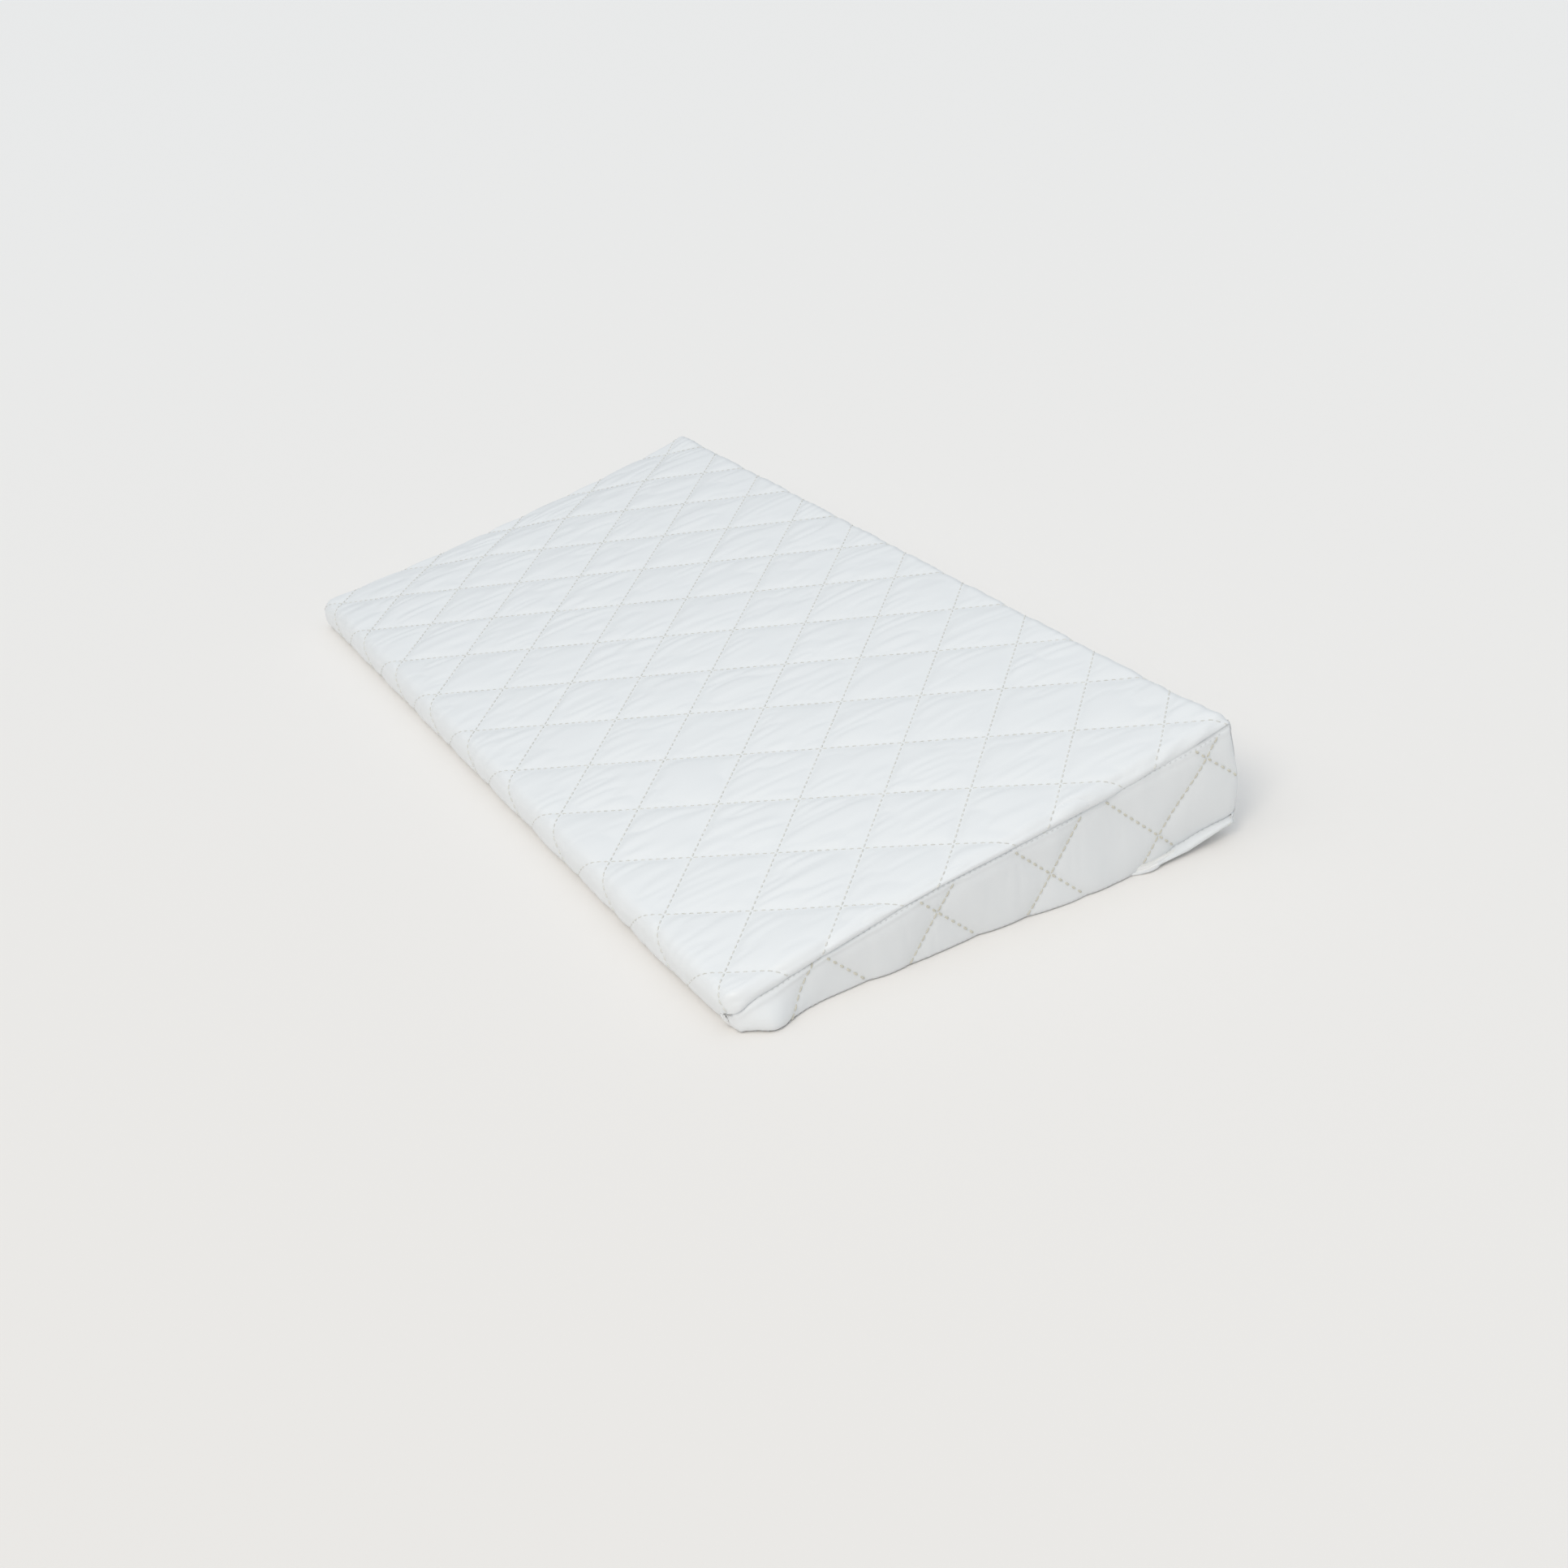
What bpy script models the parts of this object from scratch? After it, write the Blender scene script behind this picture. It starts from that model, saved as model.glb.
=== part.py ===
"""A wedge-shaped cot mattress: a memory foam top on a firm foam wedge, in a quilted zip-off cover.

+X runs along the long side, +Y from the thin edge to the tall one, +Z up.
The origin is at the middle of the base. Every quilted panel of the cover is three
layers, a face fabric, a wadding and a backing, and each layer is a solid of its own.
"""

import math

import bmesh
import bpy
from mathutils import Vector

# Driving dimensions, in metres.
LENGTH = 0.600
DEPTH = 0.290
THIN_HEIGHT = 0.020
TALL_HEIGHT = 0.0685
FRONT_RADIUS = 0.007
BACK_RADIUS = 0.006

# The gap that two pieces keep where they touch.
GAP = 0.0003

# The layers of a quilted panel, from outside in.
FACE_THICKNESS = 0.0006
WADDING_THICKNESS = 0.0022
BACKING_THICKNESS = 0.0004
SLEEVE_THICKNESS = 0.0005

# Where the cover's panels are sewn together: the top panel wraps over the thin front
# edge to a seam under it, and the back's seams are heights above the base.
FRONT_SEAM_SETBACK = 0.010
BACK_LOWER_SEAM_HEIGHT = 0.0063
BACK_UPPER_SEAM_DROP = 0.0097

# The foam: the height of the glue line at the thin edge, and the memory foam's
# thickness at the tall one.
BASE_FOAM_AT_THIN_EDGE = 0.0033
MEMORY_FOAM_AT_TALL_EDGE = 0.020

# The zip, which runs along the tall back face.
ZIP_HEIGHT = 0.033
ZIP_WINDOW = 0.016
TAPE_INSET = 0.0016
TAPE_THICKNESS = 0.0005
TAPE_INNER_EDGE = 0.0009
COIL_INSET = 0.0002
COIL_DEPTH = 0.0012
COIL_INNER_EDGE = 0.0006
COIL_OUTER_EDGE = 0.0026
COIL_HALF_LENGTH = 0.280
STOP_LENGTH = 0.003

SLIDER_LENGTH = 0.009
SLIDER_WIDTH = 0.0070
SLIDER_TAIL_WIDTH = 0.0062
SLIDER_PLATE = 0.0009
SLIDER_FLANGE = 0.0005
SLIDER_NECK_WIDTH = 0.0006
SLIDER_NECK_LENGTH = 0.003
SLIDER_BACK_PLATE = 0.0008
BRIDGE_WIDTH = 0.0018
BRIDGE_LENGTH = 0.0056
BRIDGE_BAR = 0.0007
BRIDGE_OPENING = 0.0016

PULL_LENGTH = 0.023
PULL_WIDTH = 0.0062
PULL_THICKNESS = 0.0010
PULL_EYE_LENGTH = 0.0028
PULL_EYE_WIDTH = 0.0030
PULL_GRIP_HOLE = 0.0012

# Segments in a rounded edge and in a round end.
ARC_SEGMENTS = 6
ROUND_SEGMENTS = 12

# Worked out from the driving dimensions.
ZIP_PROUD = SLIDER_PLATE + GAP / 3 + BRIDGE_OPENING + GAP / 3 + BRIDGE_BAR
FRONT_Y = -(DEPTH + ZIP_PROUD) / 2
BACK_Y = FRONT_Y + DEPTH
SLOPE = math.atan2(TALL_HEIGHT - THIN_HEIGHT, DEPTH)
COVER_THICKNESS = FACE_THICKNESS + WADDING_THICKNESS + BACKING_THICKNESS + 2 * GAP
SLEEVE_INSET = COVER_THICKNESS + GAP
FOAM_INSET = SLEEVE_INSET + SLEEVE_THICKNESS + GAP
SLIDER_CLOSED_X = COIL_HALF_LENGTH - SLIDER_LENGTH / 2
PLATE_OUTER_Y = BACK_Y + SLIDER_PLATE + GAP / 3
PULL_AXIS_Y = PLATE_OUTER_Y + BRIDGE_OPENING / 2
PULL_AXIS_X = SLIDER_CLOSED_X

# The name, inset and thickness of each layer of a quilted panel.
LAYERS = (
    ("face_fabric", 0.0, FACE_THICKNESS),
    ("wadding", FACE_THICKNESS + GAP, WADDING_THICKNESS),
    ("backing", FACE_THICKNESS + WADDING_THICKNESS + 2 * GAP, BACKING_THICKNESS),
)

# Colour, roughness and metallic value of each finish.
FINISHES = {
    "face_fabric": ((0.86, 0.88, 0.89, 1), 0.70, 0.0),
    "wadding": ((0.93, 0.93, 0.92, 1), 0.95, 0.0),
    "backing": ((0.88, 0.88, 0.86, 1), 0.90, 0.0),
    "sleeve": ((0.84, 0.84, 0.81, 1), 0.90, 0.0),
    "memory_foam": ((0.93, 0.89, 0.74, 1), 0.90, 0.0),
    "base_foam": ((0.90, 0.91, 0.92, 1), 0.90, 0.0),
    "zip_tape": ((0.87, 0.88, 0.89, 1), 0.80, 0.0),
    "zip_coil": ((0.88, 0.89, 0.90, 1), 0.40, 0.0),
    "zip_metal": ((0.86, 0.87, 0.88, 1), 0.35, 0.6),
}


def clear_scene():
    """Removes the objects that a new Blender file starts with."""
    for existing in list(bpy.data.objects):
        bpy.data.objects.remove(existing, do_unlink=True)


def finish_of(name):
    """The material of a finish, made the first time that it is asked for."""
    material = bpy.data.materials.get(name)
    if material is None:
        color, roughness, metallic = FINISHES[name]
        material = bpy.data.materials.new(name)
        material.use_nodes = True
        shader = material.node_tree.nodes["Principled BSDF"]
        shader.inputs["Base Color"].default_value = color
        shader.inputs["Roughness"].default_value = roughness
        shader.inputs["Metallic"].default_value = metallic
    return material


def object_from(bm, name, finish, origin=Vector((0, 0, 0))):
    """An object of a finished bmesh, with its origin at the given point."""
    bmesh.ops.recalc_face_normals(bm, faces=bm.faces)
    bmesh.ops.translate(bm, verts=bm.verts, vec=-Vector(origin))
    mesh = bpy.data.meshes.new(name)
    bm.to_mesh(mesh)
    bm.free()
    mesh.shade_smooth()
    mesh.set_sharp_from_angle(angle=math.radians(40))
    mesh.materials.append(finish_of(finish).copy())
    piece = bpy.data.objects.new(name, mesh)
    piece.location = origin
    bpy.context.scene.collection.objects.link(piece)
    return piece


def prism(bm, outline, low, high, place):
    """Extrudes an outline from low to high. place(a, b, level) gives each point."""
    bottom = [bm.verts.new(place(a, b, low)) for a, b in outline]
    top = [bm.verts.new(place(a, b, high)) for a, b in outline]
    bm.faces.new(bottom)
    bm.faces.new(reversed(top))
    count = len(outline)
    for i in range(count):
        j = (i + 1) % count
        bm.faces.new((bottom[i], top[i], top[j], bottom[j]))


def along_x(y, z, x):
    """A point of a section that is extruded along X."""
    return Vector((x, y, z))


def along_y(x, z, y):
    """A point of an outline that is extruded along Y."""
    return Vector((x, y, z))


def wedge_corners(inset):
    """The wedge's section with every edge moved in: front base, front top, back top, back base."""
    front = FRONT_Y + inset
    back = BACK_Y - inset
    corners = []
    for y in (front, back):
        top = THIN_HEIGHT + (y - FRONT_Y) * math.tan(SLOPE) - inset / math.cos(SLOPE)
        corners.append((Vector((y, inset)), Vector((y, top))))
    return [corners[0][0], corners[0][1], corners[1][1], corners[1][0]]


def rounded_corner(corner, before, after, radius):
    """The points of the arc that rounds one corner of an outline."""
    to_before = (before - corner).normalized()
    to_after = (after - corner).normalized()
    half_angle = to_before.angle(to_after) / 2
    reach = radius / math.tan(half_angle)
    centre = corner + (to_before + to_after).normalized() * (radius / math.sin(half_angle))
    start = corner + to_before * reach - centre
    end = corner + to_after * reach - centre
    turn = start.angle_signed(end)
    points = []
    for step in range(ARC_SEGMENTS + 1):
        angle = -turn * step / ARC_SEGMENTS
        cosine, sine = math.cos(angle), math.sin(angle)
        points.append(centre + Vector((start.x * cosine - start.y * sine, start.x * sine + start.y * cosine)))
    return points


def wedge_arc(index, inset):
    """The rounded corner of the wedge's section with that index, at an inset."""
    corners = wedge_corners(inset)
    radius = (FRONT_RADIUS if index < 2 else BACK_RADIUS) - inset
    return rounded_corner(corners[index], corners[index - 1], corners[(index + 1) % 4], radius)


def wedge_outline(inset):
    """The whole section of the wedge, rounded, at an inset."""
    return [point for index in range(4) for point in wedge_arc(index, inset)]


def on_base(y):
    """A panel's edge on the flat base, as a function of the depth below the surface."""
    return lambda depth: Vector((y, depth))


def on_back(height):
    """A panel's edge on the tall back face, as a function of the depth below the surface."""
    return lambda depth: Vector((BACK_Y - depth, height))


def strip_outline(inset, thickness, start, arcs, end):
    """The section of one layer that follows the wedge's surface round some of its corners."""
    sides = []
    for depth in (inset, inset + thickness):
        path = [start(depth)]
        for index in arcs:
            path += wedge_arc(index, depth)
        path.append(end(depth))
        sides.append(path)
    return sides[0] + sides[1][::-1]


def strip_panel(name, start, arcs, end):
    """The three layers of a panel that runs the mattress's whole length."""
    for layer, inset, thickness in LAYERS:
        bm = bmesh.new()
        half = LENGTH / 2 - inset
        prism(bm, strip_outline(inset, thickness, start, arcs, end), -half, half, along_x)
        object_from(bm, f"{name}_{layer}", layer)


def side_panel(name, side):
    """The three layers of the panel that closes one end. side is -1 at the left, 1 at the right."""
    for layer, inset, thickness in LAYERS:
        bm = bmesh.new()
        outer = LENGTH / 2 - inset
        levels = sorted((side * outer, side * (outer - thickness)))
        prism(bm, wedge_outline(inset + thickness + GAP), *levels, along_x)
        object_from(bm, f"{name}_{layer}", layer)


def cover_panels():
    """The six quilted panels of the cover."""
    half_gap = GAP / 2
    front_seam_y = FRONT_Y + FRONT_SEAM_SETBACK
    back_upper_seam = TALL_HEIGHT - BACK_UPPER_SEAM_DROP
    strip_panel("top", on_base(front_seam_y - half_gap), (0, 1, 2), on_back(back_upper_seam + half_gap))
    strip_panel("base", on_back(BACK_LOWER_SEAM_HEIGHT - half_gap), (3,), on_base(front_seam_y + half_gap))
    side_panel("left", -1)
    side_panel("right", 1)
    low = (BACK_LOWER_SEAM_HEIGHT + half_gap, ZIP_HEIGHT - ZIP_WINDOW / 2)
    high = (ZIP_HEIGHT + ZIP_WINDOW / 2, back_upper_seam - half_gap)
    for name, (start, end) in (("back_lower", low), ("back_upper", high)):
        strip_panel(name, on_back(end), (), on_back(start))


def inner_sleeve():
    """A thin knitted sleeve round the foam, open at its left end."""
    bm = bmesh.new()
    mouth = -(LENGTH / 2 - SLEEVE_INSET)
    closed_end = -mouth
    rings = []
    stations = (
        (SLEEVE_INSET, mouth),
        (SLEEVE_INSET, closed_end),
        (SLEEVE_INSET + SLEEVE_THICKNESS, closed_end - SLEEVE_THICKNESS),
        (SLEEVE_INSET + SLEEVE_THICKNESS, mouth),
    )
    for inset, x in stations:
        rings.append([bm.verts.new(Vector((x, y, z))) for y, z in wedge_outline(inset)])
    count = len(rings[0])
    for ring, following in ((0, 1), (2, 3), (3, 0)):
        for i in range(count):
            j = (i + 1) % count
            bm.faces.new((rings[ring][i], rings[ring][j], rings[following][j], rings[following][i]))
    bm.faces.new(rings[1])
    bm.faces.new(reversed(rings[2]))
    object_from(bm, "inner_sleeve", "sleeve")


def foam_blocks():
    """The firm wedge and the memory foam that is bonded to its top."""
    front_base, front_top, back_top, back_base = (wedge_arc(index, FOAM_INSET) for index in range(4))
    front = FRONT_Y + FOAM_INSET
    back = BACK_Y - FOAM_INSET
    glue_front = FOAM_INSET + BASE_FOAM_AT_THIN_EDGE
    glue_back = wedge_corners(FOAM_INSET)[2].y - MEMORY_FOAM_AT_TALL_EDGE
    half = LENGTH / 2 - FOAM_INSET
    base = front_base + [Vector((front, glue_front)), Vector((back, glue_back))] + back_base
    top = [Vector((front, glue_front + GAP))] + front_top + back_top + [Vector((back, glue_back + GAP))]
    for name, finish, section in (
        ("base_foam_wedge", "base_foam", base),
        ("memory_foam_layer", "memory_foam", top),
    ):
        bm = bmesh.new()
        prism(bm, section, -half, half, along_x)
        object_from(bm, name, finish)


def zip_chain():
    """The two tapes of the zip, with the half-round coil that is sewn to each, and its stops."""
    tape_half = LENGTH / 2 - SLEEVE_INSET
    tape_outer_edge = ZIP_WINDOW / 2 - GAP
    coil_middle = (COIL_INNER_EDGE + COIL_OUTER_EDGE) / 2
    coil_half_width = (COIL_OUTER_EDGE - COIL_INNER_EDGE) / 2
    for name, side in (("upper", 1), ("lower", -1)):
        bm = bmesh.new()
        outer_y = BACK_Y - TAPE_INSET
        heights = (ZIP_HEIGHT + side * TAPE_INNER_EDGE, ZIP_HEIGHT + side * tape_outer_edge)
        depths = (0, 0, TAPE_THICKNESS, TAPE_THICKNESS)
        section = [(outer_y - depth, z) for depth, z in zip(depths, heights + heights[::-1])]
        prism(bm, section, -tape_half, tape_half, along_x)
        object_from(bm, f"zip_tape_{name}", "zip_tape")

        bm = bmesh.new()
        coil_base = BACK_Y - COIL_INSET - COIL_DEPTH
        section = []
        for step in range(ROUND_SEGMENTS + 1):
            angle = math.pi * step / ROUND_SEGMENTS
            y = coil_base + COIL_DEPTH * math.sin(angle)
            z = ZIP_HEIGHT + side * coil_middle + coil_half_width * math.cos(angle)
            section.append((y, z))
        coil_half = COIL_HALF_LENGTH
        prism(bm, section, -coil_half, coil_half, along_x)
        object_from(bm, f"zip_coil_{name}", "zip_coil")

        stop = (ZIP_HEIGHT + side * COIL_INNER_EDGE, ZIP_HEIGHT + side * COIL_OUTER_EDGE)
        zip_stop(f"zip_top_stop_{name}", COIL_HALF_LENGTH + GAP, *sorted(stop))
    reach = COIL_OUTER_EDGE
    zip_stop("zip_bottom_stop", -COIL_HALF_LENGTH - GAP - STOP_LENGTH, ZIP_HEIGHT - reach, ZIP_HEIGHT + reach)


def zip_stop(name, low_x, low_z, high_z):
    """A metal clip that the slider runs up against."""
    inner_y = BACK_Y - COIL_INSET - COIL_DEPTH
    bm = bmesh.new()
    bevel = STOP_LENGTH / 6
    outline = [
        (low_x, low_z + bevel),
        (low_x + bevel, low_z),
        (low_x + STOP_LENGTH - bevel, low_z),
        (low_x + STOP_LENGTH, low_z + bevel),
        (low_x + STOP_LENGTH, high_z - bevel),
        (low_x + STOP_LENGTH - bevel, high_z),
        (low_x + bevel, high_z),
        (low_x, high_z - bevel),
    ]
    prism(bm, outline, inner_y, inner_y + COIL_DEPTH + COIL_INSET, along_y)
    object_from(bm, name, "zip_metal")


def block(name, low, high, origin):
    """A plain box between two corners, used to build up the slider."""
    bm = bmesh.new()
    outline = [(low[0], low[2]), (high[0], low[2]), (high[0], high[2]), (low[0], high[2])]
    prism(bm, outline, low[1], high[1], along_y)
    return object_from(bm, name, "zip_metal", origin)


def combine(piece, tool, operation):
    """Adds or cuts a tool with a Boolean, and hides the tool."""
    modifier = piece.modifiers.new(tool.name, "BOOLEAN")
    modifier.operation = operation
    modifier.object = tool
    modifier.solver = "EXACT"
    tool.hide_render = True
    tool.display_type = "WIRE"


def slider_plate(name, half_length, low_y, high_y, head, tail, origin):
    """A plate of the slider: wider at the end that faces the closed chain's stops."""
    x = SLIDER_CLOSED_X
    nose = half_length * 0.45
    outline = [
        (x - half_length, ZIP_HEIGHT - tail / 2),
        (x + nose, ZIP_HEIGHT - head / 2),
        (x + half_length, ZIP_HEIGHT - head / 4),
        (x + half_length, ZIP_HEIGHT + head / 4),
        (x + nose, ZIP_HEIGHT + head / 2),
        (x - half_length, ZIP_HEIGHT + tail / 2),
    ]
    bm = bmesh.new()
    prism(bm, outline, low_y, high_y, along_y)
    return object_from(bm, name, "zip_metal", origin)


def zip_slider():
    """The slider: a front plate with flanges, a back plate, the neck between them and a bridge."""
    origin = Vector((SLIDER_CLOSED_X, BACK_Y, ZIP_HEIGHT))
    x = SLIDER_CLOSED_X
    front_low_y = BACK_Y + GAP / 3
    half = SLIDER_LENGTH / 2
    slider = slider_plate(
        "zip_slider", half, front_low_y, PLATE_OUTER_Y, SLIDER_WIDTH, SLIDER_TAIL_WIDTH, origin
    )
    back_high_y = BACK_Y - TAPE_INSET - TAPE_THICKNESS - GAP
    back_plate = slider_plate(
        "slider_back_plate_tool",
        half,
        back_high_y - SLIDER_BACK_PLATE,
        back_high_y,
        SLIDER_WIDTH,
        SLIDER_TAIL_WIDTH,
        origin,
    )
    tools = [back_plate]
    neck = (SLIDER_NECK_LENGTH / 2, SLIDER_NECK_WIDTH / 2)
    tools.append(
        block(
            "slider_neck_tool",
            (x - neck[0], back_high_y - SLIDER_BACK_PLATE / 2, ZIP_HEIGHT - neck[1]),
            (x + neck[0], front_low_y + SLIDER_PLATE / 2, ZIP_HEIGHT + neck[1]),
            origin,
        )
    )
    flange_inner = COIL_OUTER_EDGE + GAP / 2
    flange_low_y = BACK_Y - TAPE_INSET + GAP
    for side in (-1, 1):
        reaches = (flange_inner, flange_inner + SLIDER_FLANGE)
        heights = sorted(ZIP_HEIGHT + side * reach for reach in reaches)
        tools.append(
            block(
                f"slider_flange_tool_{side + 1}",
                (x - half * 0.9, flange_low_y, heights[0]),
                (x + half * 0.4, front_low_y + SLIDER_PLATE / 2, heights[1]),
                origin,
            )
        )
    bridge_top = PLATE_OUTER_Y + BRIDGE_OPENING + BRIDGE_BAR + GAP / 3
    for side in (-1, 1):
        ends = sorted((x + side * BRIDGE_LENGTH / 2, x + side * (BRIDGE_LENGTH / 2 - BRIDGE_BAR)))
        tools.append(
            block(
                f"slider_bridge_post_tool_{side + 1}",
                (ends[0], PLATE_OUTER_Y - SLIDER_PLATE / 2, ZIP_HEIGHT - BRIDGE_WIDTH / 2),
                (ends[1], bridge_top - BRIDGE_BAR / 2, ZIP_HEIGHT + BRIDGE_WIDTH / 2),
                origin,
            )
        )
    bevel = BRIDGE_BAR / 2
    bridge_outline = [
        (x - BRIDGE_LENGTH / 2, bridge_top - BRIDGE_BAR),
        (x + BRIDGE_LENGTH / 2, bridge_top - BRIDGE_BAR),
        (x + BRIDGE_LENGTH / 2, bridge_top - bevel),
        (x + BRIDGE_LENGTH / 2 - bevel, bridge_top),
        (x - BRIDGE_LENGTH / 2 + bevel, bridge_top),
        (x - BRIDGE_LENGTH / 2, bridge_top - bevel),
    ]
    bm = bmesh.new()
    prism(bm, bridge_outline, ZIP_HEIGHT - BRIDGE_WIDTH / 2, ZIP_HEIGHT + BRIDGE_WIDTH / 2, across_z)
    tools.append(object_from(bm, "slider_bridge_tool", "zip_metal", origin))
    for tool in tools:
        combine(slider, tool, "UNION")


def across_z(x, y, z):
    """A point of an outline that is extruded along Z."""
    return Vector((x, y, z))


def round_outline(centre_x, centre_z, radius):
    """A circle in the plane of the back face."""
    points = []
    for step in range(2 * ROUND_SEGMENTS):
        angle = math.pi * step / ROUND_SEGMENTS
        points.append((centre_x + radius * math.cos(angle), centre_z + radius * math.sin(angle)))
    return points


def pull_tab():
    """The pull: a flat tab whose eye holds the slider's bridge and whose free end has a grip hole."""
    origin = Vector((PULL_AXIS_X, PULL_AXIS_Y, ZIP_HEIGHT))
    root_x = PULL_AXIS_X + PULL_THICKNESS / 2
    tip_x = root_x - PULL_LENGTH
    half = PULL_WIDTH / 2
    waist = half * 0.72
    shoulder_x = root_x - PULL_EYE_LENGTH - 3 * PULL_THICKNESS
    end_radius = half
    outline = [(root_x, ZIP_HEIGHT - half * 0.86), (root_x, ZIP_HEIGHT + half * 0.86)]
    outline.append((shoulder_x + PULL_THICKNESS, ZIP_HEIGHT + half * 0.86))
    outline.append((shoulder_x - PULL_THICKNESS, ZIP_HEIGHT + waist))
    for step in range(ROUND_SEGMENTS + 1):
        angle = math.pi / 2 + math.pi * step / ROUND_SEGMENTS
        x = tip_x + end_radius + end_radius * math.cos(angle)
        outline.append((x, ZIP_HEIGHT + end_radius * math.sin(angle)))
    outline.append((shoulder_x - PULL_THICKNESS, ZIP_HEIGHT - waist))
    outline.append((shoulder_x + PULL_THICKNESS, ZIP_HEIGHT - half * 0.86))
    low_y = PULL_AXIS_Y - PULL_THICKNESS / 2
    high_y = PULL_AXIS_Y + PULL_THICKNESS / 2
    bm = bmesh.new()
    prism(bm, outline, low_y, high_y, along_y)
    pull = object_from(bm, "zip_pull_tab", "zip_metal", origin)
    eye_high_x = root_x - PULL_THICKNESS
    eye = block(
        "pull_eye_tool",
        (eye_high_x - PULL_EYE_LENGTH, low_y - PULL_THICKNESS, ZIP_HEIGHT - PULL_EYE_WIDTH / 2),
        (eye_high_x, high_y + PULL_THICKNESS, ZIP_HEIGHT + PULL_EYE_WIDTH / 2),
        origin,
    )
    bm = bmesh.new()
    grip = round_outline(tip_x + end_radius, ZIP_HEIGHT, PULL_GRIP_HOLE)
    prism(bm, grip, low_y - PULL_THICKNESS, high_y + PULL_THICKNESS, along_y)
    grip_hole = object_from(bm, "pull_grip_tool", "zip_metal", origin)
    for tool in (eye, grip_hole):
        combine(pull, tool, "DIFFERENCE")


def main():
    clear_scene()
    cover_panels()
    inner_sleeve()
    foam_blocks()
    zip_chain()
    zip_slider()
    pull_tab()


main()
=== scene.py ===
"""A quilted wedge mattress for a cot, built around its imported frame.

The file is laid out as a Blender add-on and is run as a script. Every panel of the cover
is a quilted laminate of face fabric, wadding and backing; the quilting lines are one
diamond grid, held in lattice coordinates that the mesh, the stitches and the cloth's
finish all share.
"""

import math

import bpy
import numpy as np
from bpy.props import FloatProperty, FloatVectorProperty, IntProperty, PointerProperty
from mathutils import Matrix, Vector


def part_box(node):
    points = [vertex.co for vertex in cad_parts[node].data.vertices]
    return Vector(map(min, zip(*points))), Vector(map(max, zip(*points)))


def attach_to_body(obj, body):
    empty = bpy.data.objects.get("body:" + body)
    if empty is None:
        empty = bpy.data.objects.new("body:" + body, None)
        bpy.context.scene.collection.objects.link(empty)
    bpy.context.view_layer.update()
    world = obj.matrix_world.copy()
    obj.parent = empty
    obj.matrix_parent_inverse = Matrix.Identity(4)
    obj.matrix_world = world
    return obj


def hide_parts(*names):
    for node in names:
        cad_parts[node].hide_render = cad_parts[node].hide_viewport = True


bl_info = {
    "name": "Quilted wedge mattress",
    "version": (1, 0, 0),
    "blender": (4, 5, 0),
    "location": "View3D > Sidebar > Mattress",
    "description": "Builds the quilted cover, the foam and the zip of a wedge mattress",
    "category": "Add Mesh",
}

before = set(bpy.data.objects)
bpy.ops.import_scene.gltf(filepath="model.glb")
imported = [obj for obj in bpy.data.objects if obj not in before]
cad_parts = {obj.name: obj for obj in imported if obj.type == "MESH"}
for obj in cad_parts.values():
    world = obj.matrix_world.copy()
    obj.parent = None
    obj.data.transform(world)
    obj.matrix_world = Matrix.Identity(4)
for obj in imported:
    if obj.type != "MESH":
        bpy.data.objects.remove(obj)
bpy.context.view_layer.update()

BASE_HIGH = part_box("base_face_fabric")[1]
TOP_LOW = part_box("top_face_fabric")[0]
BAND_LOW, BAND_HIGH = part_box("back_upper_face_fabric")
LOWER_BAND_LOW, LOWER_BAND_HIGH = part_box("back_lower_face_fabric")
HALF_LENGTH = BASE_HIGH.x
FRONT_Y = TOP_LOW.y
BACK_Y = BASE_HIGH.y

# Where the cloths of a panel lie, as depths below the cover's outer surface.
FACE_THICKNESS = 0.0006
WADDING_FLOOR = 0.0033
BACKING_DEPTHS = (0.0034, 0.0038)
STITCH_SINK = 0.0013  # how far the quilting pulls the cloth in
HIDDEN_STEP = 3  # the hidden cloths have one grid line for this many of the face fabric's

# Radii of the mattress's upright corners, seen from above.
FRONT_CORNER = 0.0105
BACK_CORNERS = {-1: 0.0060, 1: 0.0038}

# The sides' larger diamonds: how fast their steep lines rise, where a steep line and a falling line
# meet the floor, and how far apart the lines of each set are along it.
STEEP_RISE, STEEP_START, STEEP_SPACING = 1.2, 0.0963, 0.0667
FALLING_START, FALLING_SPACING = 0.1365, 0.0618

# The base's roll beside the tall corner: where along the side it starts, its length and its height.
ROLL_START, ROLL_LENGTH, ROLL_HEIGHT = 0.222, 0.068, 0.0124

# The angle through which a long panel turns over an end, how far the base's edge is tucked in, and how
# much coarser the grids of the base and of the back's bands are than the top's.
QUARTER_TURN = math.radians(86)
BASE_TUCK = 0.0046
BASE_GRID = 1.4
BAND_GRID = 1.3

# Thread: how far apart and how long the seams' stitches are, and how far the zip's row is from the fold.
SEAM_PITCH, SEAM_STITCH = 0.0030, 0.0012
ZIP_PITCH, ZIP_STITCH, ZIP_ROW = 0.0032, 0.0024, 0.0024

# Foam and sleeve: the step along a section, the foam's rounded arrises, the sleeve's wall, and the
# sizes of the rings that close an end.
SECTION_STEP = 0.006
FOAM_ROUNDING = 0.0030
SLEEVE_WALL = 0.0005
CAP_RINGS = np.array((0.96, 0.90, 0.82, 0.70, 0.50, 0.25, 0.0005))

# The zip's coil.
COIL_PITCH = 0.0015
COIL_RADIUS, COIL_WIRE = 0.0010, 0.00026

MILLIMETRE = 0.001


# ---------------------------------------------------------------- settings


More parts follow.
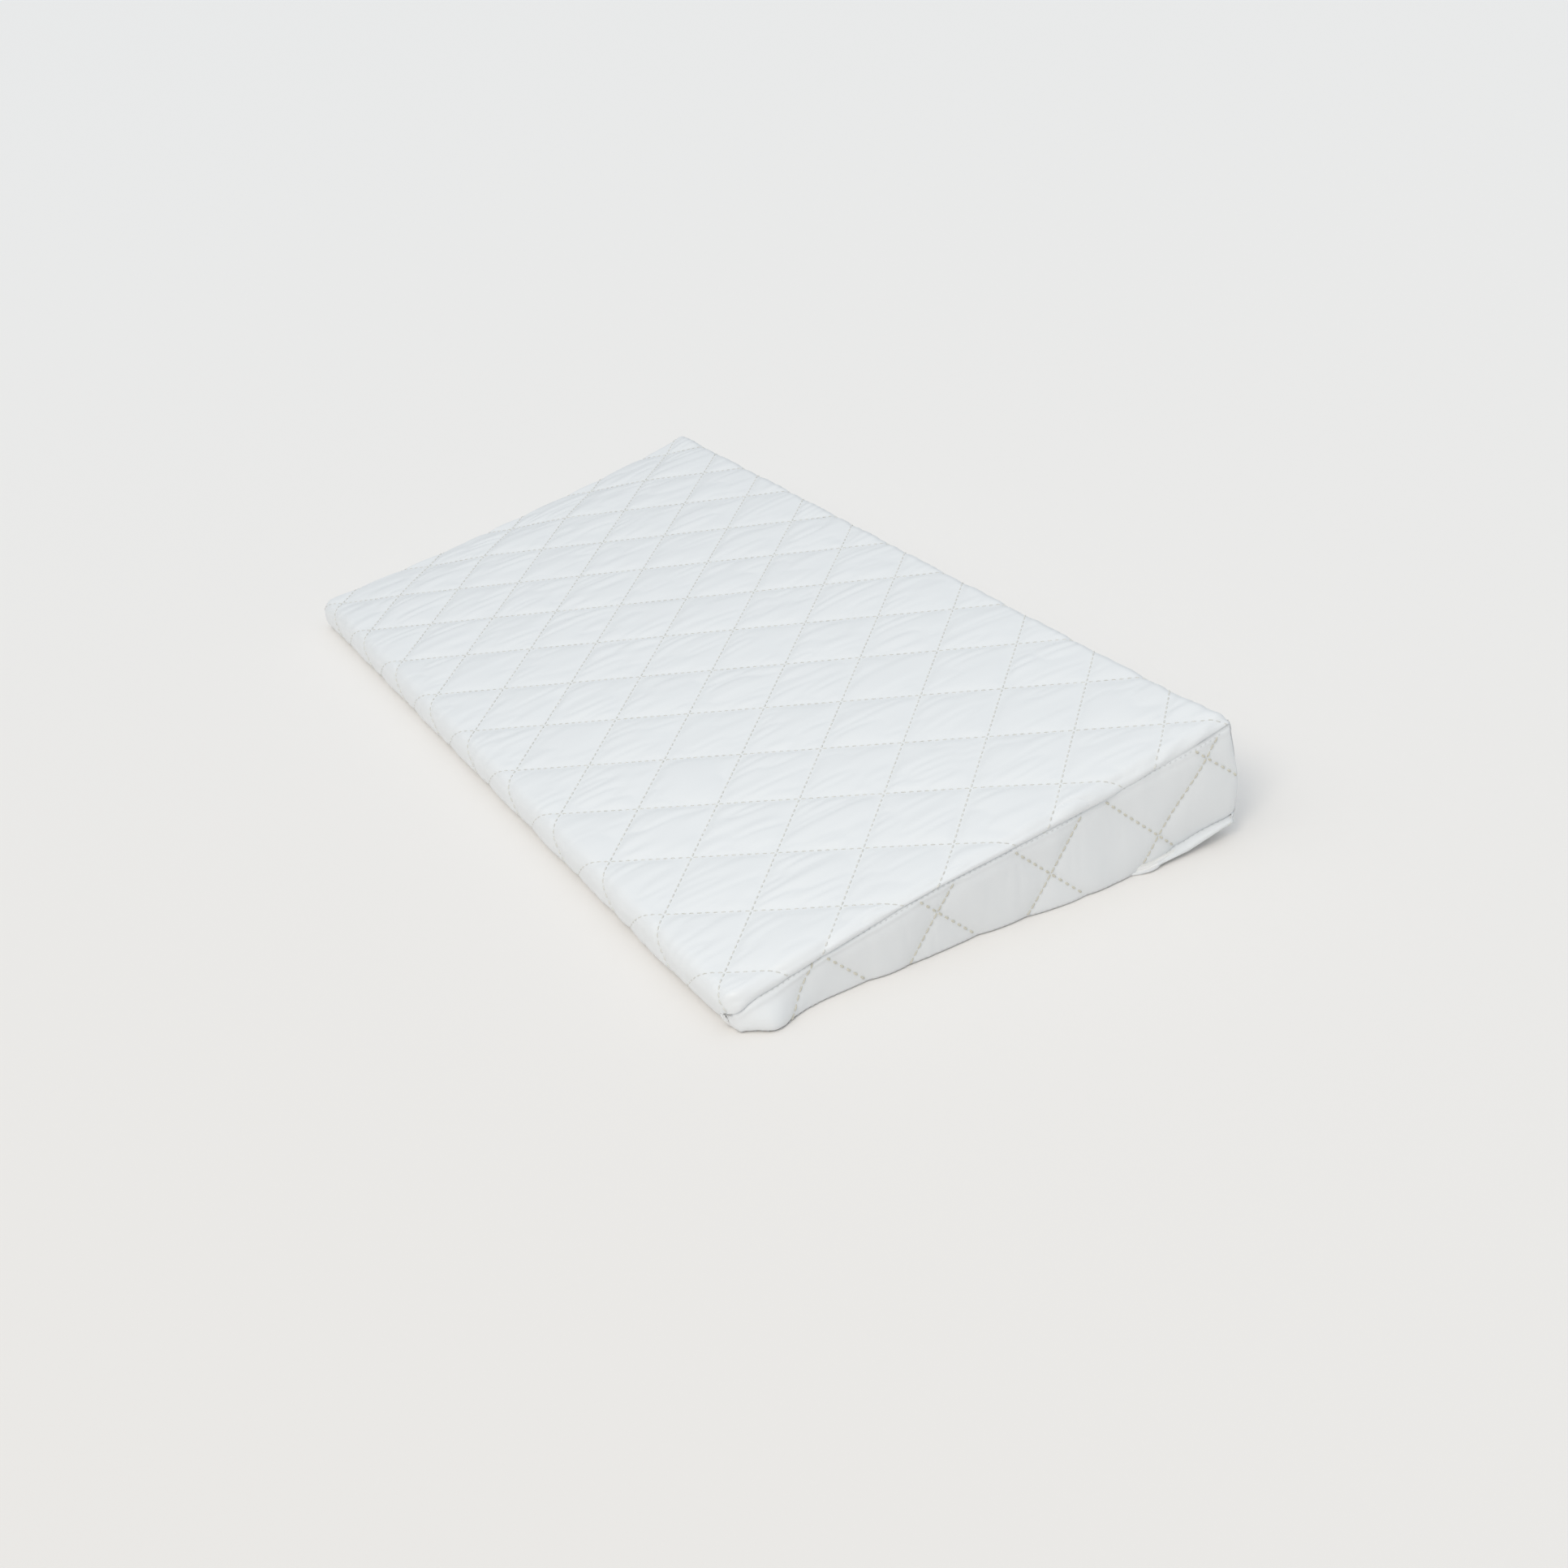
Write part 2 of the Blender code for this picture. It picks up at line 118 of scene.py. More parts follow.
class MattressSizes(bpy.types.PropertyGroup):
    """Sizes of the wedge that the frame's boxes don't give."""

    thin_height: FloatProperty(
        name="Thin edge",
        description="Height of the thin edge before it is rounded",
        default=0.020,
        unit="LENGTH",
    )
    tall_height: FloatProperty(
        name="Tall edge",
        description="Height of the tall edge before it is rounded",
        default=0.0685,
        unit="LENGTH",
    )
    front_radius: FloatProperty(
        name="Front rounding",
        description="Radius of the thin edge's two roundings",
        default=0.0082,
        unit="LENGTH",
    )
    back_radius: FloatProperty(
        name="Back rounding",
        description="Radius of the tall edge's two roundings",
        default=0.0065,
        unit="LENGTH",
    )
    front_seam: FloatProperty(
        name="Front seam",
        description="How far under the thin edge the base panel starts",
        default=0.010,
        unit="LENGTH",
    )
    end_wrap: FloatProperty(
        name="End wrap",
        description="Radius with which the long panels turn over the ends",
        default=0.0070,
        unit="LENGTH",
    )
    side_tuck: FloatProperty(
        name="Seam allowance",
        description="How far a panel's edge dives into its seam",
        default=0.0024,
        unit="LENGTH",
    )
    left_pull: FloatProperty(
        name="Left pull",
        description="How far the cover pulls the left end in between its corners",
        default=0.0085,
        unit="LENGTH",
    )
    grid: FloatProperty(
        name="Cloth grid",
        description="Spacing of the mesh of the face fabric",
        default=0.0015,
        unit="LENGTH",
    )


class QuiltSettings(bpy.types.PropertyGroup):
    """The diamond grid of the quilting and its relief."""

    diamond_x: FloatProperty(
        name="Diamond length",
        description="A diamond's diagonal along the mattress",
        default=0.0623,
        unit="LENGTH",
    )
    diamond_y: FloatProperty(
        name="Diamond width",
        description="A diamond's diagonal up the slope",
        default=0.0643,
        unit="LENGTH",
    )
    start_x: FloatProperty(
        name="First crossing along",
        description="First crossing's distance from the left end",
        default=0.0815,
        unit="LENGTH",
    )
    start_y: FloatProperty(
        name="First crossing up",
        description="First crossing's distance from the thin edge",
        default=0.0110,
        unit="LENGTH",
    )
    puff: FloatProperty(
        name="Puff",
        description="Height of a diamond's middle over its stitch lines",
        default=0.0018,
        unit="LENGTH",
    )
    valley: FloatProperty(
        name="Valley width",
        description="How far a stitch line's dip reaches on each side",
        default=0.0036,
        unit="LENGTH",
    )
    wrinkle: FloatProperty(
        name="Wrinkles",
        description="Height of the fine wrinkles across a diamond",
        default=0.0014,
        unit="LENGTH",
    )
    stitches_per_side: IntProperty(
        name="Stitches per side",
        description="Stitches along one side of a diamond",
        default=11,
    )
    thread: FloatProperty(
        name="Thread",
        description="Thickness of the quilting thread",
        default=0.00058,
        unit="LENGTH",
    )
    repeat: IntProperty(
        name="Repeat",
        description="Diamonds each way before the simulated cloth repeats",
        default=8,
    )
    slack: FloatProperty(
        name="Slack",
        description="How much longer the cloth is cut than its diamonds",
        default=0.035,
    )
    pressure: FloatProperty(
        name="Pressure",
        description="How hard the wadding pushes the cloth up",
        default=3.0,
    )


class CoverColours(bpy.types.PropertyGroup):
    """Colours of the cover, the foam, the zip and the stage."""

    face: FloatVectorProperty(
        name="Face fabric",
        description="Colour of the cover's outside",
        default=(0.612, 0.633, 0.630),
        subtype="COLOR",
    )
    thread: FloatVectorProperty(
        name="Thread",
        description="Colour of the quilting thread",
        default=(0.74, 0.74, 0.70),
        subtype="COLOR",
    )
    # Painted shade: a darker, warmer copy of the quilting thread, for the stitches on the less lit sides.
    shaded_side_thread: FloatVectorProperty(
        name="Side thread",
        description="Colour of the sides' thicker thread",
        default=(0.66, 0.64, 0.55),
        subtype="COLOR",
    )
    seam_thread: FloatVectorProperty(
        name="Seam thread",
        description="Colour of the seams' thread",
        default=(0.74, 0.75, 0.75),
        subtype="COLOR",
    )
    wadding: FloatVectorProperty(
        name="Wadding",
        description="Colour of the polyester wadding",
        default=(0.87, 0.87, 0.85),
        subtype="COLOR",
    )
    backing: FloatVectorProperty(
        name="Backing",
        description="Colour of the thin cloth inside the cover",
        default=(0.80, 0.80, 0.77),
        subtype="COLOR",
    )
    sleeve: FloatVectorProperty(
        name="Sleeve",
        description="Colour of the knitted inner sleeve",
        default=(0.76, 0.76, 0.72),
        subtype="COLOR",
    )
    memory_foam: FloatVectorProperty(
        name="Memory foam",
        description="Colour of the memory foam",
        default=(0.86, 0.79, 0.56),
        subtype="COLOR",
    )
    base_foam: FloatVectorProperty(
        name="Base foam",
        description="Colour of the firm foam",
        default=(0.80, 0.82, 0.84),
        subtype="COLOR",
    )
    zip_tape: FloatVectorProperty(
        name="Zip tape",
        description="Colour of the zip's woven tape",
        default=(0.78, 0.80, 0.81),
        subtype="COLOR",
    )
    zip_coil: FloatVectorProperty(
        name="Zip coil",
        description="Colour of the zip's nylon coil",
        default=(0.80, 0.81, 0.82),
        subtype="COLOR",
    )
    zip_metal: FloatVectorProperty(
        name="Zip metal",
        description="Colour of the lacquered slider",
        default=(0.80, 0.81, 0.82),
        subtype="COLOR",
    )
    floor: FloatVectorProperty(
        name="Floor",
        description="Colour of the floor and backdrop",
        default=(0.868, 0.846, 0.822),
        subtype="COLOR",
    )


def sizes():
    """The mattress's size settings."""
    return bpy.context.scene.mattress_sizes


def quilt():
    """The quilting settings."""
    return bpy.context.scene.mattress_quilt


def colours():
    """The colour settings."""
    return bpy.context.scene.mattress_colours


# ---------------------------------------------------------------- curves and noise


def smooth_ramp(value, low, high):
    """0 below low, 1 above high, and a smooth rise between them."""
    t = np.clip((value - low) / (high - low), 0, 1)
    return t * t * (3 - 2 * t)


def hump(value, middle, width):
    """A smooth bump of height 1."""
    return np.exp(-(((value - middle) / width) ** 2))


def scatter(i, j, seed):
    """A fixed number from 0 to 1 for each pair of whole numbers."""
    mixed = np.sin(i * 127.1 + j * 311.7 + seed * 74.7) * 43758.5453
    return mixed - np.floor(mixed)


def soft_noise(x, y, scale, seed):
    """Smooth noise from -1 to 1 whose bumps are about one scale wide."""
    u, v = x / scale, y / scale
    i, j = np.floor(u), np.floor(v)
    fu, fv = u - i, v - j
    fu, fv = fu * fu * (3 - 2 * fu), fv * fv * (3 - 2 * fv)
    low = scatter(i, j, seed) * (1 - fu) + scatter(i + 1, j, seed) * fu
    high = scatter(i, j + 1, seed) * (1 - fu) + scatter(i + 1, j + 1, seed) * fu
    return (low * (1 - fv) + high * fv) * 2 - 1


def unit(vector):
    """The vector at length 1."""
    return vector / np.linalg.norm(vector)


def rounded_path(corners, radii, step):
    """A path through the corners of the wedge's section, clockwise, with its inner corners rounded."""
    corners = [np.array(corner, float) for corner in corners]
    points = [corners[0]]

    def straight_to(target):
        count = max(1, math.ceil(np.linalg.norm(target - points[-1]) / step))
        origin = points[-1]
        points.extend(origin + (target - origin) * k / count for k in range(1, count + 1))

    for i in range(1, len(corners) - 1):
        before, after = unit(corners[i - 1] - corners[i]), unit(corners[i + 1] - corners[i])
        half_angle = math.acos(np.clip(before @ after, -1, 1)) / 2
        centre = corners[i] + unit(before + after) * radii[i - 1] / math.sin(half_angle)
        arm = corners[i] + before * radii[i - 1] / math.tan(half_angle) - centre
        straight_to(centre + arm)
        turn = math.pi - 2 * half_angle
        count = max(5, math.ceil(radii[i - 1] * turn / step))
        sideways = np.array((arm[1], -arm[0]))
        for k in range(1, count + 1):
            part = turn * k / count
            points.append(centre + arm * math.cos(part) + sideways * math.sin(part))
    straight_to(corners[-1])
    return np.array(points)


def path_normals(points):
    """The outward normal at each point of a clockwise path."""
    tangents = np.gradient(points, axis=0)
    tangents /= np.linalg.norm(tangents, axis=1)[:, None]
    return np.stack((-tangents[:, 1], tangents[:, 0]), axis=1)


def path_lengths(points):
    """The distance along a path to each of its points."""
    steps = np.linalg.norm(np.diff(points, axis=0), axis=1)
    return np.concatenate(((0,), np.cumsum(steps)))


def slope_angle():
    """The angle of the lying surface to the floor."""
    return math.atan2(sizes().tall_height - sizes().thin_height, BACK_Y - FRONT_Y)


def sample_grid(values, rows, columns):
    """Values of a grid at fractional rows and columns."""
    r0 = np.clip(np.floor(rows).astype(int), 0, values.shape[0] - 2)
    c0 = np.clip(np.floor(columns).astype(int), 0, values.shape[1] - 2)
    fr, fc = rows - r0, columns - c0
    if values.ndim == 3:
        fr, fc = fr[:, None], fc[:, None]
    low = values[r0, c0] * (1 - fc) + values[r0, c0 + 1] * fc
    high = values[r0 + 1, c0] * (1 - fc) + values[r0 + 1, c0 + 1] * fc
    return low * (1 - fr) + high * fr


# ---------------------------------------------------------------- quilting


def lattice(along, up):
    """Lattice coordinates of a point of the quilted cloth: whole numbers are the two sets of stitch lines."""
    a = (along - quilt().start_x) / quilt().diamond_x
    b = (up - quilt().start_y) / quilt().diamond_y
    return a - b, a + b


def line_spacing():
    """The distance between two neighbouring stitch lines."""
    return 1 / math.hypot(1 / quilt().diamond_x, 1 / quilt().diamond_y)


CLOTH = {}  # the simulated patch's heights and how many of its points lie along a diamond's side


def cloth_grid(count, cells):
    """Points of a flat patch of cloth in metres, a grid in lattice coordinates."""
    ticks = np.arange(cells * count + 1) / count
    p, q = np.meshgrid(ticks, ticks, indexing="ij")
    return p, q, (p + q) / 2 * quilt().diamond_x, (q - p) / 2 * quilt().diamond_y


def simulate_quilting():
    """Puffs up one patch of cloth that is sewn down along its lattice, with Blender's cloth simulation."""
    count, cells, enlarged = 14, quilt().repeat, 20.0
    p, q, x, y = cloth_grid(count, cells)
    sewn = (p == np.round(p)) | (q == np.round(q))
    cell = (np.floor(p), np.floor(q))
    turn = math.radians(11) + (scatter(*cell, 1) - 0.5) * math.radians(20)
    ripple = np.sin((x * np.cos(turn) - y * np.sin(turn)) / 0.009 * 2 * math.pi + scatter(*cell, 4) * 6.28)
    start = np.stack((x, y, np.where(sewn, 0.0, 0.0003 * ripple)), axis=-1).reshape(-1, 3) * enlarged
    piece = mesh_object("quilting_patch", start, grid_faces(*p.shape))
    piece.shape_key_add(name="Basis")
    cut = piece.shape_key_add(name="cut")
    flat = np.stack((x * (1 + quilt().slack), y * (1 + quilt().slack * 0.3), np.zeros_like(x)), axis=-1)
    cut.data.foreach_set("co", (flat.reshape(-1, 3) * enlarged).astype(np.float32).ravel())
    held = piece.vertex_groups.new(name="sewn")
    held.add([int(i) for i in np.flatnonzero(sewn.ravel())], 1.0, "REPLACE")
    modifier = piece.modifiers.new("cloth", "CLOTH")
    cloth = modifier.settings
    cloth.quality = 6
    cloth.mass = 0.1
    cloth.tension_stiffness = cloth.compression_stiffness = 15
    cloth.shear_stiffness = 5
    cloth.bending_model = "LINEAR"
    cloth.bending_stiffness = 5
    cloth.vertex_group_mass = "sewn"
    cloth.rest_shape_key = cut
    cloth.use_pressure = True
    cloth.uniform_pressure_force = quilt().pressure
    cloth.effector_weights.gravity = 0
    modifier.collision_settings.use_collision = False
    for frame_number in range(1, 21):
        bpy.context.scene.frame_set(frame_number)
    settled = piece.evaluated_get(bpy.context.evaluated_depsgraph_get()).data
    places = np.empty(len(settled.vertices) * 3, np.float32)
    settled.vertices.foreach_get("co", places)
    height = places.reshape(-1, 3)[:, 2].reshape(p.shape).astype(float)
    if not np.isfinite(height).all() or height.max() < 0.01:
        raise RuntimeError("the quilting patch did not puff up")
    bpy.data.objects.remove(piece)
    bpy.context.scene.frame_set(1)
    CLOTH["height"] = height / np.percentile(height, 99.5)
    CLOTH["count"] = count


def pillow_shape(p, q):
    """How high the cloth stands at lattice coordinates, from 0 on its stitches to 1 on a diamond's middle."""
    if "height" not in CLOTH:
        return np.abs(np.sin(math.pi * p) * np.sin(math.pi * q)) ** 0.75
    cells, count = quilt().repeat, CLOTH["count"]
    return sample_grid(CLOTH["height"], np.mod(p, cells) * count, np.mod(q, cells) * count)


def line_distances(p, q):
    """Distances from a point to the nearest stitch line of each set."""
    spacing = line_spacing()
    return np.abs(p - np.round(p)) * spacing, np.abs(q - np.round(q)) * spacing


def puff_relief(p, q):
    """Height of the quilted surface at lattice coordinates, from its valleys to its crowns."""
    walls = [1 - np.exp(-((d / quilt().valley) ** 1.15)) for d in line_distances(p, q)]
    fullness = 0.86 + 0.28 * scatter(np.floor(p), np.floor(q), 9)
    return quilt().puff * fullness * (0.50 * walls[0] * walls[1] + 0.50 * pillow_shape(p, q))


def wrinkle_relief(along, up, p, q):
    """Wrinkles that run up the slope inside each diamond, a little different in each."""
    cell = (np.floor(p), np.floor(q))
    turn = math.radians(5) + (scatter(*cell, 1) - 0.5) * math.radians(16)
    across = along * np.cos(turn) - up * np.sin(turn) + scatter(*cell, 2) * 0.7
    length = along * np.sin(turn) + up * np.cos(turn) + scatter(*cell, 3) * 0.9
    across = across + 0.0008 * soft_noise(across, length, 0.020, 4)
    broad = np.abs(soft_noise(across / 0.0064, length / 0.028, 1.0, 5)) ** 0.62
    to_p, to_q = line_distances(p, q)
    fade = smooth_ramp(np.minimum(to_p, to_q), 0.0, 4.5 * MILLIMETRE)
    patch = 0.75 + 0.25 * soft_noise(along, up, 0.030, 7)
    strength = 0.70 + 0.45 * scatter(*cell, 8)
    return quilt().wrinkle * (broad - 0.45) * fade * patch * strength


def quilt_relief(along, up):
    """Height of the quilted cloth over its stitch lines."""
    p, q = lattice(along, up)
    return puff_relief(p, q) + wrinkle_relief(along, up, p, q)


# ---------------------------------------------------------------- meshes


def grid_faces(rows, columns, first=0, flip=False):
    """The quads of a grid of rows times columns points, numbered row by row."""
    index = first + np.arange(rows * columns).reshape(rows, columns)
    quads = np.stack((index[:-1, :-1], index[1:, :-1], index[1:, 1:], index[:-1, 1:]), axis=-1).reshape(-1, 4)
    return quads[:, ::-1] if flip else quads


def rim_faces(rows, columns, first, second):
    """The quads that join the rims of two grids of the same size."""
    index = np.arange(rows * columns).reshape(rows, columns)
    rim = np.concatenate((index[0, :-1], index[:-1, -1], index[-1, :0:-1], index[:0:-1, 0]))
    following = np.roll(rim, -1)
    return np.stack((rim + first, following + first, following + second, rim + second), axis=-1)


def mesh_object(name, points, quads, uv=None):
    """An object of numpy points and quads, shaded smooth, with an optional UV for each point."""
    mesh = bpy.data.meshes.new(name)
    mesh.vertices.add(len(points))
    mesh.vertices.foreach_set("co", np.asarray(points, np.float32).ravel())
    mesh.loops.add(quads.size)
    mesh.loops.foreach_set("vertex_index", quads.astype(np.int32).ravel())
    mesh.polygons.add(len(quads))
    mesh.polygons.foreach_set("loop_start", np.arange(0, quads.size, 4, dtype=np.int32))
    mesh.update(calc_edges=True)
    mesh.validate()
    mesh.shade_smooth()
    if uv is not None:
        layer = mesh.uv_layers.new(name="quilt")
        layer.data.foreach_set("uv", np.asarray(uv, np.float32)[quads.ravel()].ravel())
    piece = bpy.data.objects.new(name, mesh)
    bpy.context.scene.collection.objects.link(piece)
    return piece


def surface_normals(points):
    """Normals of a grid of points, of shape (rows, columns, 3)."""
    normals = np.cross(np.gradient(points, axis=0), np.gradient(points, axis=1))
    return normals / np.maximum(np.linalg.norm(normals, axis=2), 1e-12)[..., None]


def shell(name, outer, inner, uv):
    """A closed sheet between two grids of points. Rows run along the panel, outer faces out."""
    rows, columns = outer.shape[:2]
    count = rows * columns
    points = np.concatenate((outer.reshape(-1, 3), inner.reshape(-1, 3)))
    quads = np.concatenate(
        (
            grid_faces(rows, columns),
            grid_faces(rows, columns, count, flip=True),
            rim_faces(rows, columns, 0, count)[:, ::-1],
        )
    )
    flat_uv = uv.reshape(-1, 2)
    return mesh_object(name, points, quads, np.concatenate((flat_uv, flat_uv)))


def round_corner(x, y, side, edge, toward, radius):
    """Turns one square upright corner of the mattress into a round one."""
    u = 1 - (HALF_LENGTH - side * x) / radius
    v = 1 - toward * (y - edge) / radius
    inside = (u > 0) & (v > 0)
    u, v = np.clip(u, 0, 1.35), np.clip(v, 0, 1.35)
    new_u, new_v = u * np.sqrt(1 - v**2 / 2), v * np.sqrt(1 - u**2 / 2)
    x = np.where(inside, side * (HALF_LENGTH - radius + new_u * radius), x)
    y = np.where(inside, edge + toward * (radius - new_v * radius), y)
    return x, y


def settle(points):
    """How the whole mattress gives under its cover's tension, as moved points."""
    x, y, z = points[..., 0].copy(), points[..., 1].copy(), points[..., 2].copy()
    for side in (-1, 1):
        x, y = round_corner(x, y, side, FRONT_Y, 1, FRONT_CORNER)
        x, y = round_corner(x, y, side, BACK_Y, -1, BACK_CORNERS[side])
    share = np.clip((y - FRONT_Y) / (BACK_Y - FRONT_Y), 0, 1)
    lift = np.clip(z / 0.035, 0, 1)

    # The cover pulls the left end in between its corners, and the right end waves a little.
    near_left = smooth_ramp(-x, HALF_LENGTH - 0.060, HALF_LENGTH)
    x = x + sizes().left_pull * np.sin(math.pi * share) ** 0.6 * near_left * (0.4 + 0.6 * lift)
    z = z - 0.0022 * near_left * lift * smooth_ramp(-share, -1.0, -0.9)
    near_right = smooth_ramp(x, HALF_LENGTH - 0.045, HALF_LENGTH)
    z = z + 0.0012 * near_right * lift * np.sin(2 * math.pi * share + 0.6)

    # The right end bulges low down, at the thin edge's corner and before the roll begins.
    right_end = smooth_ramp(x, HALF_LENGTH - 0.030, HALF_LENGTH - 0.005)
    x = x + 0.0085 * hump(y - FRONT_Y, 0.020, 0.015) * hump(z, 0.003, 0.0085) * right_end
    x = x + 0.0050 * hump(y - FRONT_Y, 0.197, 0.036) * hump(z, 0.0, 0.022) * right_end
    run = y - FRONT_Y
    y = y + 0.0030 * hump(x, HALF_LENGTH, 0.030) * hump(z, 0.002, 0.010) * (1 - smooth_ramp(run, 0.0, 0.026))

    # Its tall corner leans out, and the roll of the base lifts off the floor there.
    pushed = hump(y, BACK_Y, 0.032) * hump(z, 0.030, 0.026) * right_end
    x, y = x + 0.0042 * pushed, y + 0.0032 * pushed + 0.0006 * right_end * hump(y, BACK_Y, 0.012)
    z = z + np.clip(base_roll(y) - 0.0066, 0, None) * (1 - smooth_ramp(z, 0.0, 0.0135)) * right_end
    return np.stack((x, y, np.maximum(z, 0.0)), axis=-1)


PANELS = {}  # each panel's outer surface, its normals and its lattice coordinates, for the stitches


def laminate(name, base, normals, relief, p, q):
    """The three cloths of a quilted panel, from its unquilted surface, as three closed sheets."""
    outer = settle(base + normals * (relief - STITCH_SINK)[..., None])
    out_normals = surface_normals(outer)
    uv = np.stack((p, q), axis=-1)
    if np.median(np.einsum("ijk,ijk->ij", out_normals, normals)) < 0:
        outer, out_normals, uv = outer[:, ::-1], -out_normals[:, ::-1], uv[:, ::-1]
        base, normals, relief = base[:, ::-1], normals[:, ::-1], relief[:, ::-1]
    PANELS[name] = (outer, out_normals, uv[..., 0], uv[..., 1])
    face = shell(f"{name}_face_fabric", outer, outer - out_normals * FACE_THICKNESS, uv)
    picks = [np.append(np.arange(0, count - 1, HIDDEN_STEP), count - 1) for count in outer.shape[:2]]
    pick = np.ix_(*picks)
    rise = np.clip(relief[pick] / quilt().puff, 0, 1) * 0.0004
    skin = outer[pick] - out_normals[pick] * (FACE_THICKNESS + 0.00015)
    depths = (WADDING_FLOOR, *BACKING_DEPTHS)
    floor, upper, lower = (settle(base[pick] + normals[pick] * (rise - depth)[..., None]) for depth in depths)
    wadding = shell(f"{name}_wadding", skin, floor, uv[pick])
    backing = shell(f"{name}_backing", upper, lower, uv[pick])
    for piece, layer in ((face, "face_fabric"), (wadding, "wadding"), (backing, "backing")):
        attach(piece, "mattress", layer, f"{name}_{layer}")


def attach(piece, body, slot, *nodes, material=None):
    """Gives a piece its finish and its body, and hides the CAD nodes that it stands for."""
    piece.data.materials.clear()
    piece.data.materials.append(finish(material or slot))
    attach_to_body(piece, body)
    if nodes:
        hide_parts(*nodes)


# ---------------------------------------------------------------- finishes


class Nodes:
    """A short way to lay out a material's nodes."""

    def __init__(self, name, colour, roughness, **constants):
        self.material = bpy.data.materials.new(name)
        self.material.use_nodes = True
        self.tree = self.material.node_tree
        self.shader = self.tree.nodes["Principled BSDF"]
        self.shader.inputs["Base Color"].default_value = (*colour, 1)
        self.shader.inputs["Roughness"].default_value = roughness
        for socket, value in constants.items():
            self.shader.inputs[socket.replace("_", " ")].default_value = value

    def add(self, kind, **settings):
        """A node of that kind with its settings."""
        node = self.tree.nodes.new(kind)
        for key, value in settings.items():
            setattr(node, key, value)
        return node

    def join(self, source, target):
        """Links an output to an input."""
        self.tree.links.new(source, target)

    def math(self, operation, first, second=0.0):
        """A Math node on sockets or numbers."""
        node = self.add("ShaderNodeMath", operation=operation)
        for socket, value in zip(node.inputs, (first, second)):
            if isinstance(value, (int, float)):
                socket.default_value = value
            else:
                self.join(value, socket)
        return node.outputs[0]

    def coordinates(self, scale, uv=None):
        """Object coordinates, or the piece's own UV map, at a scale."""
        if uv:
            source = self.add("ShaderNodeUVMap", uv_map=uv).outputs[0]
        else:
            source = self.add("ShaderNodeTexCoord").outputs["Object"]
        mapping = self.add("ShaderNodeMapping")
        mapping.inputs["Scale"].default_value = scale if hasattr(scale, "__len__") else (scale,) * 3
        self.join(source, mapping.inputs["Vector"])
        return mapping.outputs[0]

    def noise(self, vector, scale, detail=3.0, roughness=0.5):
        """A noise texture's value."""
        node = self.add("ShaderNodeTexNoise")
        node.inputs["Scale"].default_value = scale
        node.inputs["Detail"].default_value = detail
        node.inputs["Roughness"].default_value = roughness
        self.join(vector, node.inputs["Vector"])
        return node.outputs["Fac"]

    def span(self, value, low, high, to_low, to_high):
        """A value carried from one range to another."""
        node = self.add("ShaderNodeMapRange")
        for key, number in zip(("From Min", "From Max", "To Min", "To Max"), (low, high, to_low, to_high)):
            node.inputs[key].default_value = number
        self.join(value, node.inputs["Value"])
        return node.outputs[0]

    def tint(self, factor, colours_and_places):
        """A colour ramp."""
        node = self.add("ShaderNodeValToRGB")
        ramp = node.color_ramp
        while len(ramp.elements) < len(colours_and_places):
            ramp.elements.new(0.5)
        for element, (place, colour) in zip(ramp.elements, colours_and_places):
            element.position = place
            element.color = (*colour, 1)
        self.join(factor, node.inputs["Fac"])
        return node.outputs["Color"]

    def blend(self, factor, first, second):
        """A mix of two colours, each a socket or a colour."""
        node = self.add("ShaderNodeMix", data_type="RGBA")
        self.join(factor, node.inputs["Factor"])
        for socket, value in zip((node.inputs[6], node.inputs[7]), (first, second)):
            if isinstance(value, (tuple, list)):
                socket.default_value = (*value, 1)
            else:
                self.join(value, socket)
        return node.outputs[2]

    def colour(self, socket):
        """Sets what the surface's colour comes from."""
        self.join(socket, self.shader.inputs["Base Color"])

    def rough(self, socket):
        """Sets what the surface's roughness comes from."""
        self.join(socket, self.shader.inputs["Roughness"])

    def bumps(self, *heights):
        """Chains bumps, each a height socket, a strength and a depth in metres."""
        normal = None
        for height, strength, depth in heights:
            node = self.add("ShaderNodeBump")
            node.inputs["Strength"].default_value = strength
            node.inputs["Distance"].default_value = depth
            self.join(height, node.inputs["Height"])
            if normal:
                self.join(normal, node.inputs["Normal"])
            normal = node.outputs[0]
        self.join(normal, self.shader.inputs["Normal"])


def shade(colour, factor):
    """A colour made lighter or darker."""
    return tuple(min(1.0, c * factor) for c in colour)


